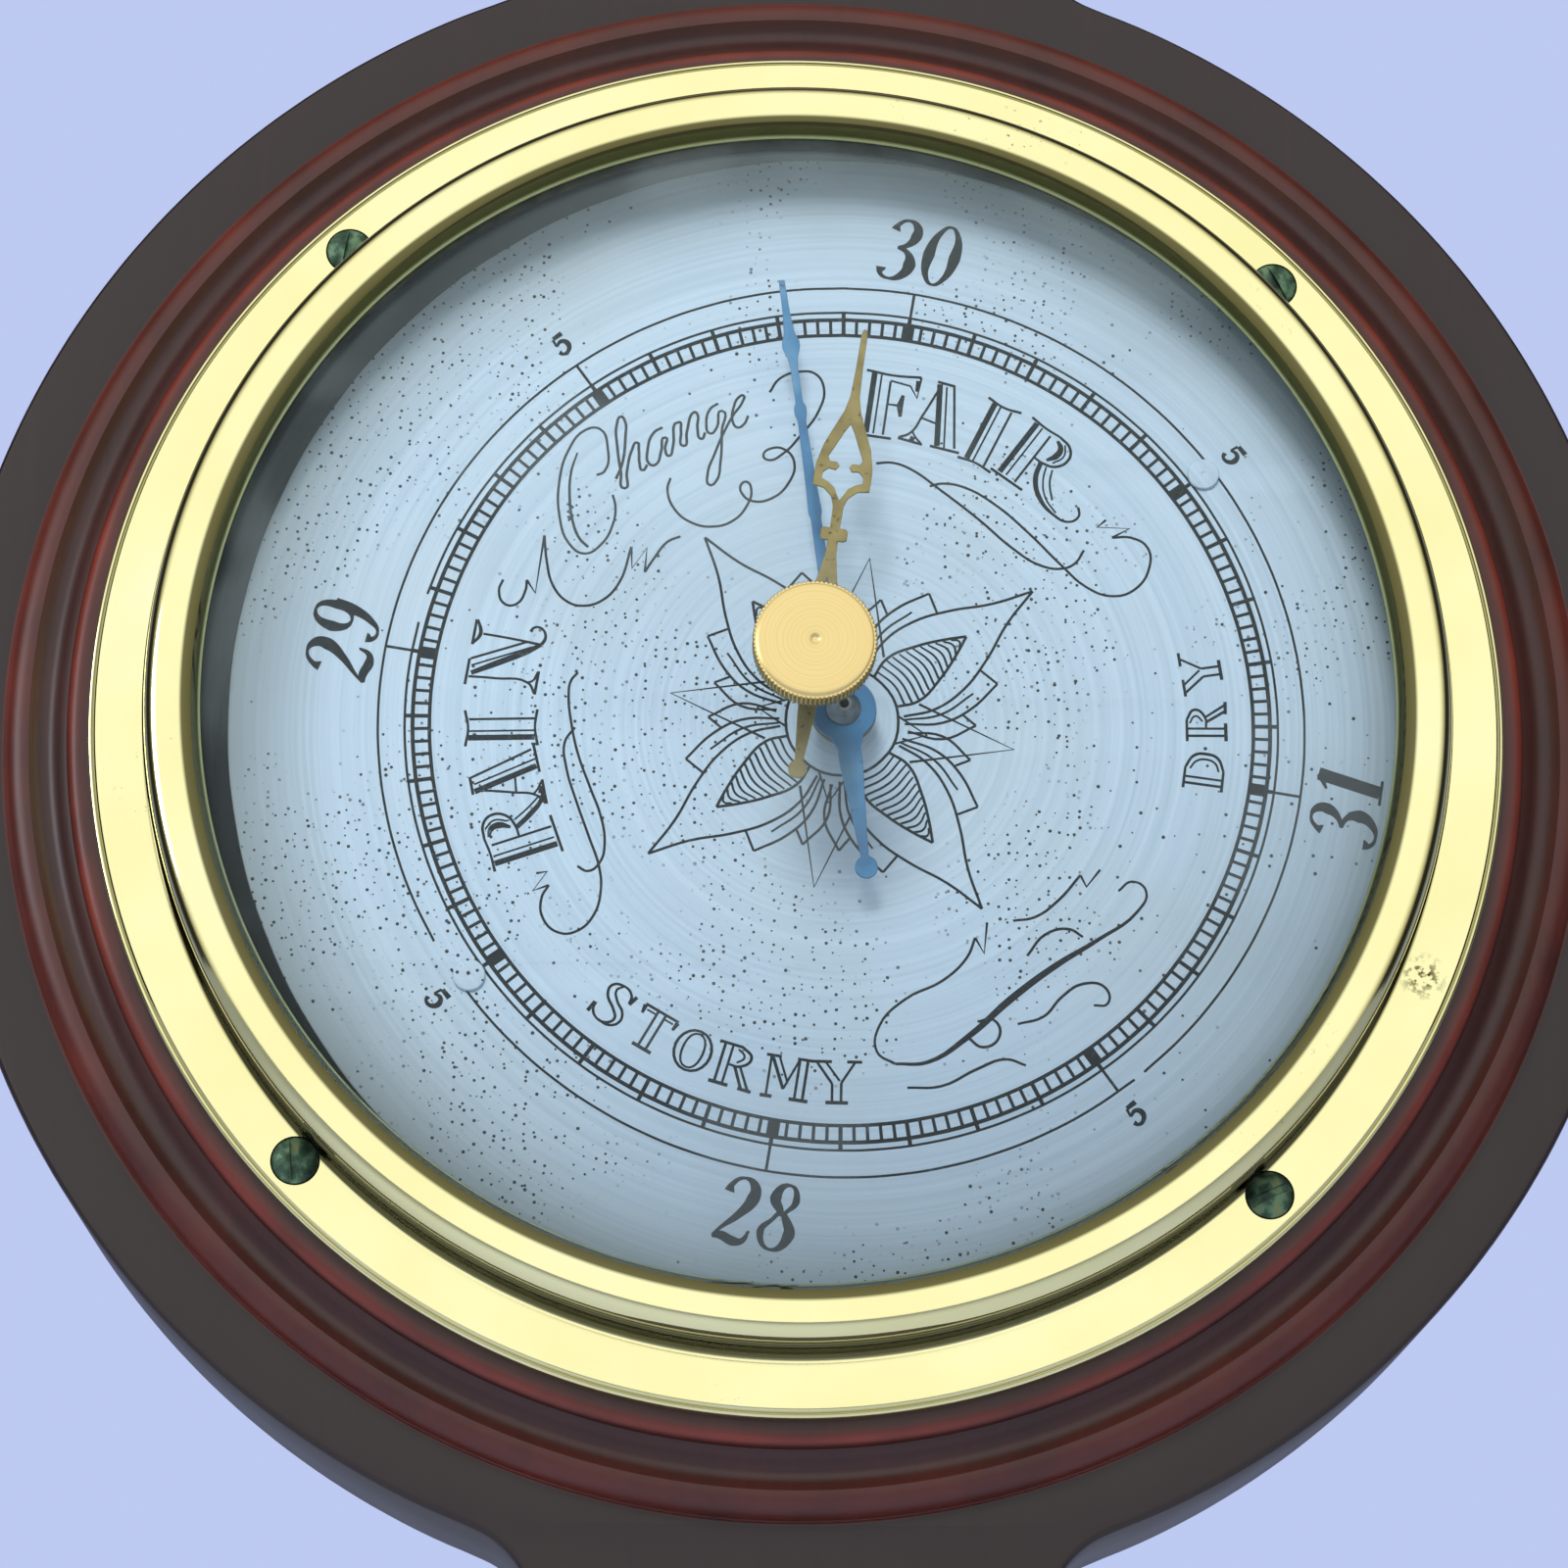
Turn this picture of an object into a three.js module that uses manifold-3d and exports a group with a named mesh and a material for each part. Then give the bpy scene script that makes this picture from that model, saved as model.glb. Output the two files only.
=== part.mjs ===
// Ship barometer: a brass-cased aneroid in a turned mahogany wall plaque.
// Built on a bench frame: x right, y up, z out of the wall. The last group stands it upright.
import * as THREE from 'three';
import * as BufferGeometryUtils from 'three/addons/utils/BufferGeometryUtils.js';
import Module from 'manifold-3d';

const wasm = await Module();
wasm.setup();

// Driving sizes, in millimetres. Heights are measured from the wall.
const turnedSegments = 48;
const smallSegments = 12;
const seat = 0.1;                 // gap left between two pieces that touch
const fit = 0.3;                  // radial gap round a shank or a pilot hole

const originDrop = 100;           // the wall mount is this far above the bezel's axis

const plaqueRadius = 87.4;
const plaqueFace = 26;
const plaqueLip = 31.1;
const plaqueLipRadius = 73.8;
const mouldingRadius = 80.9;
const neckHalfWidth = 25;
const neckFillet = 10;
const topNeckEnd = 138;
const bottomNeckEnd = 124;
const plateHalf = 18;
const plateFoot = 112;
const plateHead = 127;
const plateMiddle = 119.5;
const plateScrewOffset = 13;
const boreRadius = 62.9;
const rebateRadius = 64.9;
const rebateFloor = 29.9;

const bezelRadius = 71.6;
const bezelTop = 33.5;
const bezelSheet = 1;
const bezelWall = 65.4;
const crestHeight = 41.9;
const crestRadius = 63.2;
const lipRadius = 59.6;
const lipTop = 40.9;
const bezelScrewCircle = 67.8;
const bezelScrewTurn = 46.4;      // degrees clockwise from the top to the first screw

const glassSphere = 175;
const glassThickness = 1.6;
const glassEdge = 63.6;
const glassRimTop = 39.85;

const hubX = 4.5;
const hubY = -0.7;
const dialTop = 32.4;
const dialThickness = 1;
const dialRadius = 60.9;
const dialX = 3.4;
const dialY = -0.4;
const rivetCircle = 45.8;
const rivetTurn = 54;

const drumRadius = 62.6;
const drumSheet = 0.8;
const drumBack = 2.4;
const drumFloor = 3.4;

const movementBottom = 6;
const movementTop = 7.6;
const platePinCircle = 36;
const movementRadius = 40;

const capsuleX = -14;
const capsuleY = 4;
const capsuleRadius = 20;
const springTop = 18.9;

const adjusterX = -37.8;          // the regulating screw, reached through the back of the case
const adjusterAccess = 3;

const rockerX = 9;
const rockerY = -21;
const rockerZ = 11;
const chainZ = 25;
const arborDrum = 1.7;

const setX = 1.1;
const setY = 0.4;
const setHandTop = 43.6;
const setShaftRadius = 1.5;
const pointerTop = 36.9;
const pointerHub = 3.4;
const handThickness = 0.5;

const knobTeeth = 48;
const knobCrest = 6.05;
const knobRoot = 5.85;
const knobNeck = 3;
const knobBottom = 51.4;
const knobRimBottom = 53.7;
const knobRimTop = 56.2;
const knobTop = 56.4;

const pointerTurn = -8.1;         // degrees clockwise from the top, as the hand stands at rest
const setTurn = 8.1;

function surface(color, roughness, metalness, extra = {}) {
  return new THREE.MeshStandardMaterial({ color, roughness, metalness, ...extra });
}

const mahogany = surface(0x4a2622, 0.38, 0);
const brass = surface(0xd9c069, 0.22, 1);
const dullBrass = surface(0xa89256, 0.45, 1);
const silvered = surface(0xc5d6e2, 0.5, 0.35);
const blueSteel = surface(0x3f78a6, 0.38, 0.6);
const steel = surface(0x8e9196, 0.35, 1);
const patinaBrass = surface(0x4d6350, 0.6, 0.7);
const clearGlass = surface(0xe8f2f4, 0.05, 0, { transparent: true, opacity: 0.25 });

const bench = new THREE.Group();

// The mesh goes on the bench, its geometry already built about its own axis or in place.
function put(name, geometry, material, x = 0, y = 0, z = 0) {
  const mesh = new THREE.Mesh(geometry, material);
  mesh.name = name;
  mesh.position.set(x, y, z);
  bench.add(mesh);
  return mesh;
}

// A clockwise turn from the top, in degrees, and a radius give a place on the face.
function clock(turn, radius) {
  const angle = THREE.MathUtils.degToRad(turn);
  return [radius * Math.sin(angle), radius * Math.cos(angle)];
}

// Profile points are [radius, height]; the outer side is drawn going up.
function turned(profile, segments = turnedSegments) {
  const points = profile.map(([radius, height]) => new THREE.Vector2(radius, height));
  const geometry = new THREE.LatheGeometry(points, segments);
  geometry.rotateX(Math.PI / 2);
  return geometry;
}

function disc(radius, bottom, top, segments = smallSegments) {
  return turned([[0, bottom], [radius, bottom], [radius, top], [0, top]], segments);
}

function tube(inner, outer, bottom, top, segments = smallSegments) {
  const profile = [[inner, bottom], [outer, bottom], [outer, top], [inner, top], [inner, bottom]];
  return turned(profile, segments);
}

function slab(shape, bottom, top, curveSegments = 10) {
  const geometry = new THREE.ExtrudeGeometry(
    shape,
    { depth: top - bottom, bevelEnabled: false, curveSegments },
  );
  geometry.translate(0, 0, bottom);
  return geometry;
}

function box(x0, x1, y0, y1, z0, z1) {
  const geometry = new THREE.BoxGeometry(x1 - x0, y1 - y0, z1 - z0);
  geometry.translate((x0 + x1) / 2, (y0 + y1) / 2, (z0 + z1) / 2);
  return geometry;
}

function solid(geometry) {
  const plain = geometry.clone();
  plain.deleteAttribute('normal');
  plain.deleteAttribute('uv');
  const merged = BufferGeometryUtils.mergeVertices(plain, 1e-4);
  const mesh = new wasm.Mesh({
    numProp: 3,
    vertProperties: new Float32Array(merged.attributes.position.array),
    triVerts: new Uint32Array(merged.index.array),
  });
  return new wasm.Manifold(mesh);
}

function backToGeometry(body) {
  const mesh = body.getMesh();
  const geometry = new THREE.BufferGeometry();
  geometry.setAttribute('position', new THREE.BufferAttribute(new Float32Array(mesh.vertProperties), 3));
  geometry.setIndex(new THREE.BufferAttribute(new Uint32Array(mesh.triVerts), 1));
  geometry.computeVertexNormals();
  return geometry;
}

function cut(base, ...tools) {
  return backToGeometry(tools.reduce((body, tool) => body.subtract(solid(tool)), solid(base)));
}

function join(first, ...others) {
  return backToGeometry(others.reduce((body, other) => body.add(solid(other)), solid(first)));
}

function moved(geometry, x, y, z = 0) {
  const copy = geometry.clone();
  copy.translate(x, y, z);
  return copy;
}

// A slotted screw whose head rests at height 0 and whose shank goes down.
function slottedScrew(headRadius, headHeight, shankRadius, shankLength) {
  const crown = headHeight * 0.55;
  const profile = [[0, -shankLength], [shankRadius, -shankLength], [shankRadius, 0], [headRadius, 0],
    [headRadius, crown], [headRadius * 0.7, headHeight * 0.9], [0, headHeight]];
  const slotHalf = headRadius * 0.14;
  const slot = box(-headRadius * 2, headRadius * 2, -slotHalf, slotHalf, headHeight * 0.4, headHeight * 2);
  return cut(turned(profile, smallSegments), slot);
}

// The outline of one neck, closed inside the round body, with a concave fillet on each side.
function neckShape(end, direction) {
  const filletCentreX = neckHalfWidth + neckFillet;
  const filletCentreY = Math.sqrt((plaqueRadius + neckFillet) ** 2 - filletCentreX ** 2);
  const meet = Math.atan2(-filletCentreY, -filletCentreX);
  const shoulder = end - neckHalfWidth * 0.72;
  const shape = new THREE.Shape();
  shape.moveTo(0, 66);
  shape.lineTo(filletCentreX + neckFillet * Math.cos(meet), filletCentreY + neckFillet * Math.sin(meet));
  shape.absarc(filletCentreX, filletCentreY, neckFillet, meet + 2 * Math.PI, Math.PI, true);
  shape.lineTo(neckHalfWidth, shoulder);
  shape.bezierCurveTo(neckHalfWidth, end - 6, neckHalfWidth * 0.45, end, 0, end);
  shape.bezierCurveTo(-neckHalfWidth * 0.45, end, -neckHalfWidth, end - 6, -neckHalfWidth, shoulder);
  shape.lineTo(-neckHalfWidth, filletCentreY);
  shape.absarc(-filletCentreX, filletCentreY, neckFillet, 0, -Math.PI - meet, true);
  shape.closePath();
  const geometry = slab(shape, 0, plaqueFace, 6);
  if (direction < 0) {
    geometry.rotateZ(Math.PI);
  }
  return geometry;
}

function buildPlaque() {
  const profile = [[boreRadius, 0], [plaqueRadius, 0], [plaqueRadius, plaqueFace - 0.8],
    [plaqueRadius - 0.8, plaqueFace], [mouldingRadius, plaqueFace], [mouldingRadius - 0.9, plaqueFace + 1.9],
    [78.6, plaqueFace + 3], [77.2, plaqueFace + 2.9], [75.6, plaqueFace + 2.2], [74.6, plaqueFace + 3.2],
    [plaqueLipRadius, plaqueLip - 0.5], [plaqueLipRadius - 0.6, plaqueLip], [rebateRadius, plaqueLip],
    [rebateRadius, rebateFloor], [boreRadius, rebateFloor], [boreRadius, 0]];
  const necks = [neckShape(topNeckEnd, 1), neckShape(bottomNeckEnd, -1)];
  const screwHoles = bezelScrewPlaces().map(([x, y]) => moved(disc(1.4 + fit, 17, 40, 12), x, y));
  const recess = box(-plateHalf - fit, plateHalf + fit, plateFoot - fit, plateHead + fit, -1, 2.1);
  const nailRoom = moved(disc(7, -1, 7, 24), 0, plateMiddle);
  const pilots = hangingScrewPlaces().map(([x, y]) => moved(disc(1.2 + fit, -1, 13.5, 12), x, y));
  const body = join(turned(profile), ...necks);
  put('wood_plaque', cut(body, ...screwHoles, recess, nailRoom, ...pilots), mahogany);
}

function hangingScrewPlaces() {
  return [[-plateScrewOffset, plateMiddle], [plateScrewOffset, plateMiddle]];
}

function buildHangingPlate() {
  const shape = new THREE.Shape();
  shape.moveTo(-plateHalf, plateFoot);
  shape.lineTo(plateHalf, plateFoot);
  shape.lineTo(plateHalf, plateHead);
  shape.lineTo(-plateHalf, plateHead);
  shape.closePath();
  const keyhole = new THREE.Path();
  keyhole.absarc(0, plateMiddle - 2.5, 4, Math.PI * 0.65, Math.PI * 2.35, false);
  keyhole.lineTo(1.8, plateMiddle + 4);
  keyhole.absarc(0, plateMiddle + 4, 1.8, 0, Math.PI, false);
  keyhole.closePath();
  shape.holes.push(keyhole);
  const sinks = hangingScrewPlaces().map(([x, y]) => moved(disc(2.9, -1, 0.9, 16), x, y));
  const bores = hangingScrewPlaces().map(([x, y]) => moved(disc(1.2 + fit, -1, 3, 12), x, y));
  put('hanging_plate', cut(slab(shape, 0, 1.8), ...sinks, ...bores), dullBrass);
  const screw = slottedScrew(2.5, 0.8, 1.2, 12);
  screw.rotateX(Math.PI);
  hangingScrewPlaces().forEach(([x, y], index) => {
    put(`hanging_screw_${index + 1}`, screw, patinaBrass, x, y, 0.8);
  });
}

function bezelScrewPlaces() {
  return [0, 1, 2, 3].map((quarter) => clock(bezelScrewTurn + 90 * quarter, bezelScrewCircle));
}

// Spun sheet brass: a flange with a turned-down edge, an upright wall, a rounded crest and a lip.
function buildBezel() {
  const innerWall = bezelWall - bezelSheet;
  const under = bezelTop - bezelSheet;
  const edgeBottom = plaqueLip + seat;
  const profile = [[bezelRadius - bezelSheet, edgeBottom], [bezelRadius, edgeBottom],
    [bezelRadius, bezelTop - 0.6], [bezelRadius - 0.5, bezelTop], [bezelWall + 0.15, bezelTop],
    [bezelWall, bezelTop + 0.2], [bezelWall, crestHeight - 1.9], [bezelWall - 0.5, crestHeight - 0.6],
    [crestRadius + 0.7, crestHeight], [crestRadius - 0.7, crestHeight], [61.2, lipTop + 0.5],
    [lipRadius, lipTop], [lipRadius, lipTop - 0.8], [61.4, lipTop - 0.5], [crestRadius, crestHeight - 1.2],
    [innerWall, crestHeight - 2.2], [innerWall, under], [bezelRadius - bezelSheet, under],
    [bezelRadius - bezelSheet, edgeBottom]];
  const holes = bezelScrewPlaces().map(([x, y]) => moved(disc(1.4 + fit, 20, 40, 12), x, y));
  put('bezel_ring', cut(turned(profile), ...holes), brass);
  const screw = slottedScrew(2.2, 0.9, 1.4, 15);
  bezelScrewPlaces().forEach(([x, y], index) => {
    const mesh = put(`bezel_screw_${index + 1}`, screw, patinaBrass, x, y, bezelTop + seat);
    mesh.rotation.z = 0.4 + index * 0.7;
  });
}

function domeHeight(radius, sphere) {
  const apex = glassRimTop + glassSphere - Math.sqrt(glassSphere ** 2 - lipRadius ** 2);
  return apex - glassSphere + Math.sqrt(sphere ** 2 - radius ** 2);
}

function buildGlass() {
  const innerSphere = glassSphere - glassThickness;
  const steps = 5;
  const outer = [];
  const inner = [];
  for (let step = 0; step <= steps; step += 1) {
    const radius = glassEdge * (1 - step / steps);
    outer.push([radius, domeHeight(radius, glassSphere)]);
    inner.unshift([radius, domeHeight(radius, innerSphere)]);
  }
  const shaftHole = moved(disc(1.9, 40, 60, 20), setX, setY);
  put('glass_dome', cut(turned([...inner, ...outer]), shaftHole), clearGlass);
  const ringTop = domeHeight(glassEdge, innerSphere) - 0.15;
  put('glass_ring', tube(61.9, 64.1, ringTop - 1.5, ringTop, turnedSegments), dullBrass);
}

function buildDrum() {
  const inner = drumRadius - drumSheet;
  const profile = [[0, drumBack], [drumRadius - 1, drumBack], [drumRadius, drumBack + 1],
    [drumRadius, rebateFloor + seat], [rebateRadius - fit, rebateFloor + seat],
    [rebateRadius - fit, rebateFloor + 0.9], [inner, rebateFloor + 0.9], [inner, drumFloor + 1],
    [inner - 1, drumFloor], [0, drumFloor]];
  const keyHole = moved(disc(adjusterAccess, 0, 5, 16), adjusterX, capsuleY);
  const bores = platePinPlaces().map(([x, y]) => moved(disc(1.4 + fit, 0, 5, 12), x, y));
  put('case_drum', cut(turned(profile), keyHole, ...bores), dullBrass);
}

function rivetPlaces() {
  return [rivetTurn, rivetTurn + 180].map((turn) => {
    const [x, y] = clock(turn, rivetCircle);
    return [hubX + x, hubY + y];
  });
}

function buildDial() {
  const shape = new THREE.Shape();
  shape.absarc(dialX, dialY, dialRadius, 0, Math.PI * 2, false);
  const hubHole = new THREE.Path();
  hubHole.absarc(hubX, hubY, 2.4, 0, Math.PI * 2, true);
  shape.holes.push(hubHole);
  rivetPlaces().forEach(([x, y]) => {
    const hole = new THREE.Path();
    hole.absarc(x, y, 1 + fit, 0, Math.PI * 2, true);
    shape.holes.push(hole);
  });
  put('dial_plate', slab(shape, dialTop - dialThickness, dialTop, 20), silvered);
  const names = ['upper', 'lower'];
  const rivet = turned([[0, -6], [1, -6], [1, seat], [1.6, seat], [1.5, 0.5], [0.9, 0.85], [0, 0.95]], 16);
  rivetPlaces().forEach(([x, y], index) => {
    put(`dial_rivet_${names[index]}`, rivet, silvered, x, y, dialTop);
    const pillarTop = dialTop - dialThickness - seat;
    const pillar = cut(disc(2.2, drumFloor + seat, pillarTop, 16), disc(1 + fit, pillarTop - 6.5, 40, 16));
    put(`dial_pillar_${names[index]}`, pillar, dullBrass, x, y);
  });
}

function platePinPlaces() {
  return [0, 120, 240].map((turn) => clock(turn, platePinCircle));
}

function buildMovementPlate() {
  const bores = platePinPlaces().map(([x, y]) => moved(disc(1.4 + fit, 0, 9, 12), x, y));
  const adjusterBore = moved(disc(1.1, 0, 9, 12), adjusterX, capsuleY);
  const blank = disc(movementRadius, movementBottom, movementTop, 36);
  put('movement_plate', cut(blank, ...bores, adjusterBore), dullBrass);
  const screw = slottedScrew(2.4, 1.2, 1.4, 6.2);
  screw.rotateX(Math.PI);
  platePinPlaces().forEach(([x, y], index) => {
    const spacer = tube(1.4 + fit, 3, drumFloor + seat, movementBottom - seat, 16);
    put(`movement_spacer_${index + 1}`, spacer, dullBrass, x, y);
    put(`movement_screw_${index + 1}`, screw, steel, x, y, drumBack - seat);
  });
}

// One half of the vacuum capsule: a corrugated dish, open towards the other half.
function capsuleHalf() {
  const sheet = 0.5;
  const outer = [[0, 3.1], [4, 3.1]];
  const rings = 3;
  for (let ring = 0; ring < rings; ring += 1) {
    const start = 5 + ring * 4;
    outer.push([start, 2.4], [start + 2, 3.1]);
  }
  outer.push([capsuleRadius - 1.4, 2.4], [capsuleRadius, 1.2], [capsuleRadius, 0]);
  const inset = (height) => (height < 2 ? sheet : 0);
  const inner = outer.map(([radius, height]) => [Math.max(0, radius - inset(height)), height - sheet]);
  inner[inner.length - 1] = [capsuleRadius - sheet, 0];
  return turned([...inner, ...outer.reverse()], 20);
}

function buildCapsule() {
  const lower = capsuleHalf();
  lower.rotateX(Math.PI);
  const footTop = 11.1;
  const boss = disc(3, movementTop + seat - footTop, -2.8);
  put('capsule_lower', join(lower, boss), dullBrass, capsuleX, capsuleY, footTop);
  put('capsule_upper', capsuleHalf(), dullBrass, capsuleX, capsuleY, footTop + 0.3);
  const stud = turned([[0, 14.7], [2.6, 14.7], [2.6, 15.6], [1.5, 16], [1.5, 17.3], [0, 17.3]], 16);
  put('capsule_stud', stud, steel, capsuleX, capsuleY);
}

// A wide leaf that rises from the plate and reaches over the capsule, holding it open.
function buildMainspring() {
  const shape = new THREE.Shape();
  shape.moveTo(-38.5, movementTop + seat);
  shape.lineTo(-37.1, movementTop + seat);
  shape.lineTo(-37.1, springTop - 3.2);
  shape.quadraticCurveTo(-37.1, springTop - 1.2, -35, springTop - 1.2);
  shape.lineTo(-9, springTop - 1.2);
  shape.lineTo(-9, springTop);
  shape.lineTo(-35, springTop);
  shape.quadraticCurveTo(-38.5, springTop, -38.5, springTop - 3.2);
  shape.closePath();
  const width = 16;
  const geometry = new THREE.ExtrudeGeometry(shape, { depth: width, bevelEnabled: false, curveSegments: 6 });
  geometry.rotateX(Math.PI / 2);
  geometry.translate(0, capsuleY + width / 2, 0);
  put('mainspring', geometry, steel);
}

function bar(x0, y0, x1, y1, width, bottom, top) {
  const length = Math.hypot(x1 - x0, y1 - y0);
  const geometry = box(0, length, -width / 2, width / 2, bottom, top);
  geometry.rotateZ(Math.atan2(y1 - y0, x1 - x0));
  geometry.translate(x0, y0, 0);
  return geometry;
}

function buildLever() {
  const low = springTop + 0.5;
  const arm = bar(-16, 5.3, 16, -15.6, 2.4, low, low + 1.2);
  const pad = box(-18, -11, 1, 9, low, low + 1.2);
  put('main_lever', join(arm, pad), steel);
  put('lever_link', box(14.6, 15.4, -15.9, -15.3, rockerZ - 0.4, low - 0.1), steel);
}

function buildRocker() {
  const shaft = new THREE.CylinderGeometry(1, 1, 22, 14);
  shaft.rotateZ(Math.PI / 2);
  shaft.translate(rockerX, rockerY, rockerZ);
  const longArm = box(1.35, 3.15, rockerY - 0.6, rockerY + 0.6, rockerZ, chainZ + 0.8);
  const shortArm = box(14.2, 15.8, rockerY, -16.6, rockerZ - 0.6, rockerZ + 0.6);
  put('rocker_shaft', join(shaft, longArm, shortArm), steel);
  const base = box(-3.4, 21.4, rockerY - 3, rockerY + 2, movementTop + seat, movementTop + 1.2);
  const earHeight = rockerZ + 2.2;
  const ears = [[-3.4, -1.8], [19.8, 21.4]].map(([x0, x1]) => {
    return box(x0, x1, rockerY - 2.2, rockerY + 2, movementTop + 0.6, earHeight);
  });
  const bore = new THREE.CylinderGeometry(1.08, 1.08, 40, 14);
  bore.rotateZ(Math.PI / 2);
  bore.translate(rockerX, rockerY, rockerZ);
  put('rocker_bracket', cut(join(base, ...ears), bore), dullBrass);
}

function buildChain() {
  const x = hubX - arborDrum - 0.3;
  put('fusee_chain', box(x - 0.5, x, rockerY + 1.4, hubY + 0.6, chainZ - 0.4, chainZ + 0.4), steel);
}

// A three-cornered plate with round corners, one of them round the pointer arbor.
function cornerPlate(places, radius, hubBore, bottom, top) {
  const discs = places.map(([x, y]) => solid(moved(disc(radius, bottom, top, 20), x, y)));
  const hull = wasm.Manifold.hull(discs);
  const bores = places.map(([x, y], index) => {
    const ownBore = index === 0 ? hubBore : 1 + fit;
    return solid(moved(disc(ownBore, bottom - 1, top + 1, 16), x, y));
  });
  return backToGeometry(bores.reduce((body, bore) => body.subtract(bore), hull));
}

function buildArborCocks() {
  const pillars = [[12, 18], [24, -4]];
  const places = [[hubX, hubY], ...pillars];
  const cockBottom = 21.8;
  const cockTop = 22.8;
  const bridgeBottom = 27.6;
  const bridgeTop = 28.8;
  put('arbor_cock', cornerPlate(places, 3, 0.9, cockBottom, cockTop), dullBrass);
  put('arbor_bridge', cornerPlate(places, 3, 0.9, bridgeBottom, bridgeTop), dullBrass);
  const screw = slottedScrew(2, 1, 1, 8);
  pillars.forEach(([x, y], index) => {
    const tall = disc(2.2, movementTop + seat, cockBottom - seat, 16);
    put(`cock_pillar_${index + 1}`, cut(tall, disc(1 + fit, cockBottom - 2, 30, 16)), dullBrass, x, y);
    const pillar = tube(1 + fit, 2.2, cockTop + seat, bridgeBottom - seat, 16);
    put(`bridge_pillar_${index + 1}`, pillar, dullBrass, x, y);
    put(`bridge_screw_${index + 1}`, screw, steel, x, y, bridgeTop + seat);
  });
}

function buildHairspring() {
  const turns = 3;
  const stepsPerTurn = 14;
  const points = [];
  for (let step = 0; step <= turns * stepsPerTurn; step += 1) {
    const angle = (step / stepsPerTurn) * Math.PI * 2;
    const radius = 2.3 + (3.2 * step) / (turns * stepsPerTurn);
    points.push([radius * Math.cos(angle), radius * Math.sin(angle), angle]);
  }
  const half = 0.12;
  const outer = points.map(([x, y, a]) => new THREE.Vector2(x + half * Math.cos(a), y + half * Math.sin(a)));
  const inner = points.map(([x, y, a]) => new THREE.Vector2(x - half * Math.cos(a), y - half * Math.sin(a)));
  const shape = new THREE.Shape([...outer, ...inner.reverse()]);
  put('hairspring', slab(shape, 23, 23.6), steel, hubX, hubY);
}

// The arbor carries the chain drum, the collet, the blued hand and its steel bush.
function buildPointer() {
  const arbor = [
    [0, 21.5], [0.8, 21.5], [0.8, 24], [arborDrum, 24],
    [arborDrum, 26], [0.8, 26], [0.8, 35.3], [0, 35.3],
  ];
  put('pointer_arbor', turned(arbor, 16), steel, hubX, hubY);
  const colletBottom = pointerTop - 1.4;
  put('pointer_collet', disc(3.3, colletBottom, pointerTop - 0.6, 28), brass, hubX, hubY);
  const bush = [[0, pointerTop + seat], [1.8, pointerTop + seat], [1.75, 38], [1.2, 38.7], [0, 38.8]];
  put('pointer_bush', turned(bush, 20), steel, hubX, hubY);
  const shape = new THREE.Shape();
  const right = [[0, 46.4], [0.55, 41.5], [1.25, 39.2], [0.5, 36.6], [0.55, 33], [1.05, 32.1], [0.6, 31.2],
    [0.85, 20.5], [1.3, 19.6], [0.9, 18.7], [1.1, 8], [1.5, 3.2]];
  shape.moveTo(right[0][0], right[0][1]);
  right.slice(1).forEach(([x, y]) => shape.lineTo(x, y));
  shape.absarc(0, 0, pointerHub, Math.PI * 0.36, -Math.PI * 0.36, true);
  shape.lineTo(1.1, -7);
  shape.lineTo(0.35, -16.6);
  shape.absarc(0, -17.7, 1.15, Math.PI * 0.42, Math.PI * 0.58, true);
  shape.lineTo(-1.1, -7);
  shape.lineTo(-1.5, -3.1);
  shape.absarc(0, 0, pointerHub, -Math.PI * 0.64, Math.PI * 0.64, true);
  [...right].reverse().slice(0, -1).forEach(([x, y]) => shape.lineTo(-x, y));
  shape.closePath();
  const sheet = slab(shape, pointerTop - handThickness, pointerTop, 8);
  const hand = put('pointer_hand', sheet, blueSteel, hubX, hubY);
  hand.rotation.z = -THREE.MathUtils.degToRad(pointerTurn);
}

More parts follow.
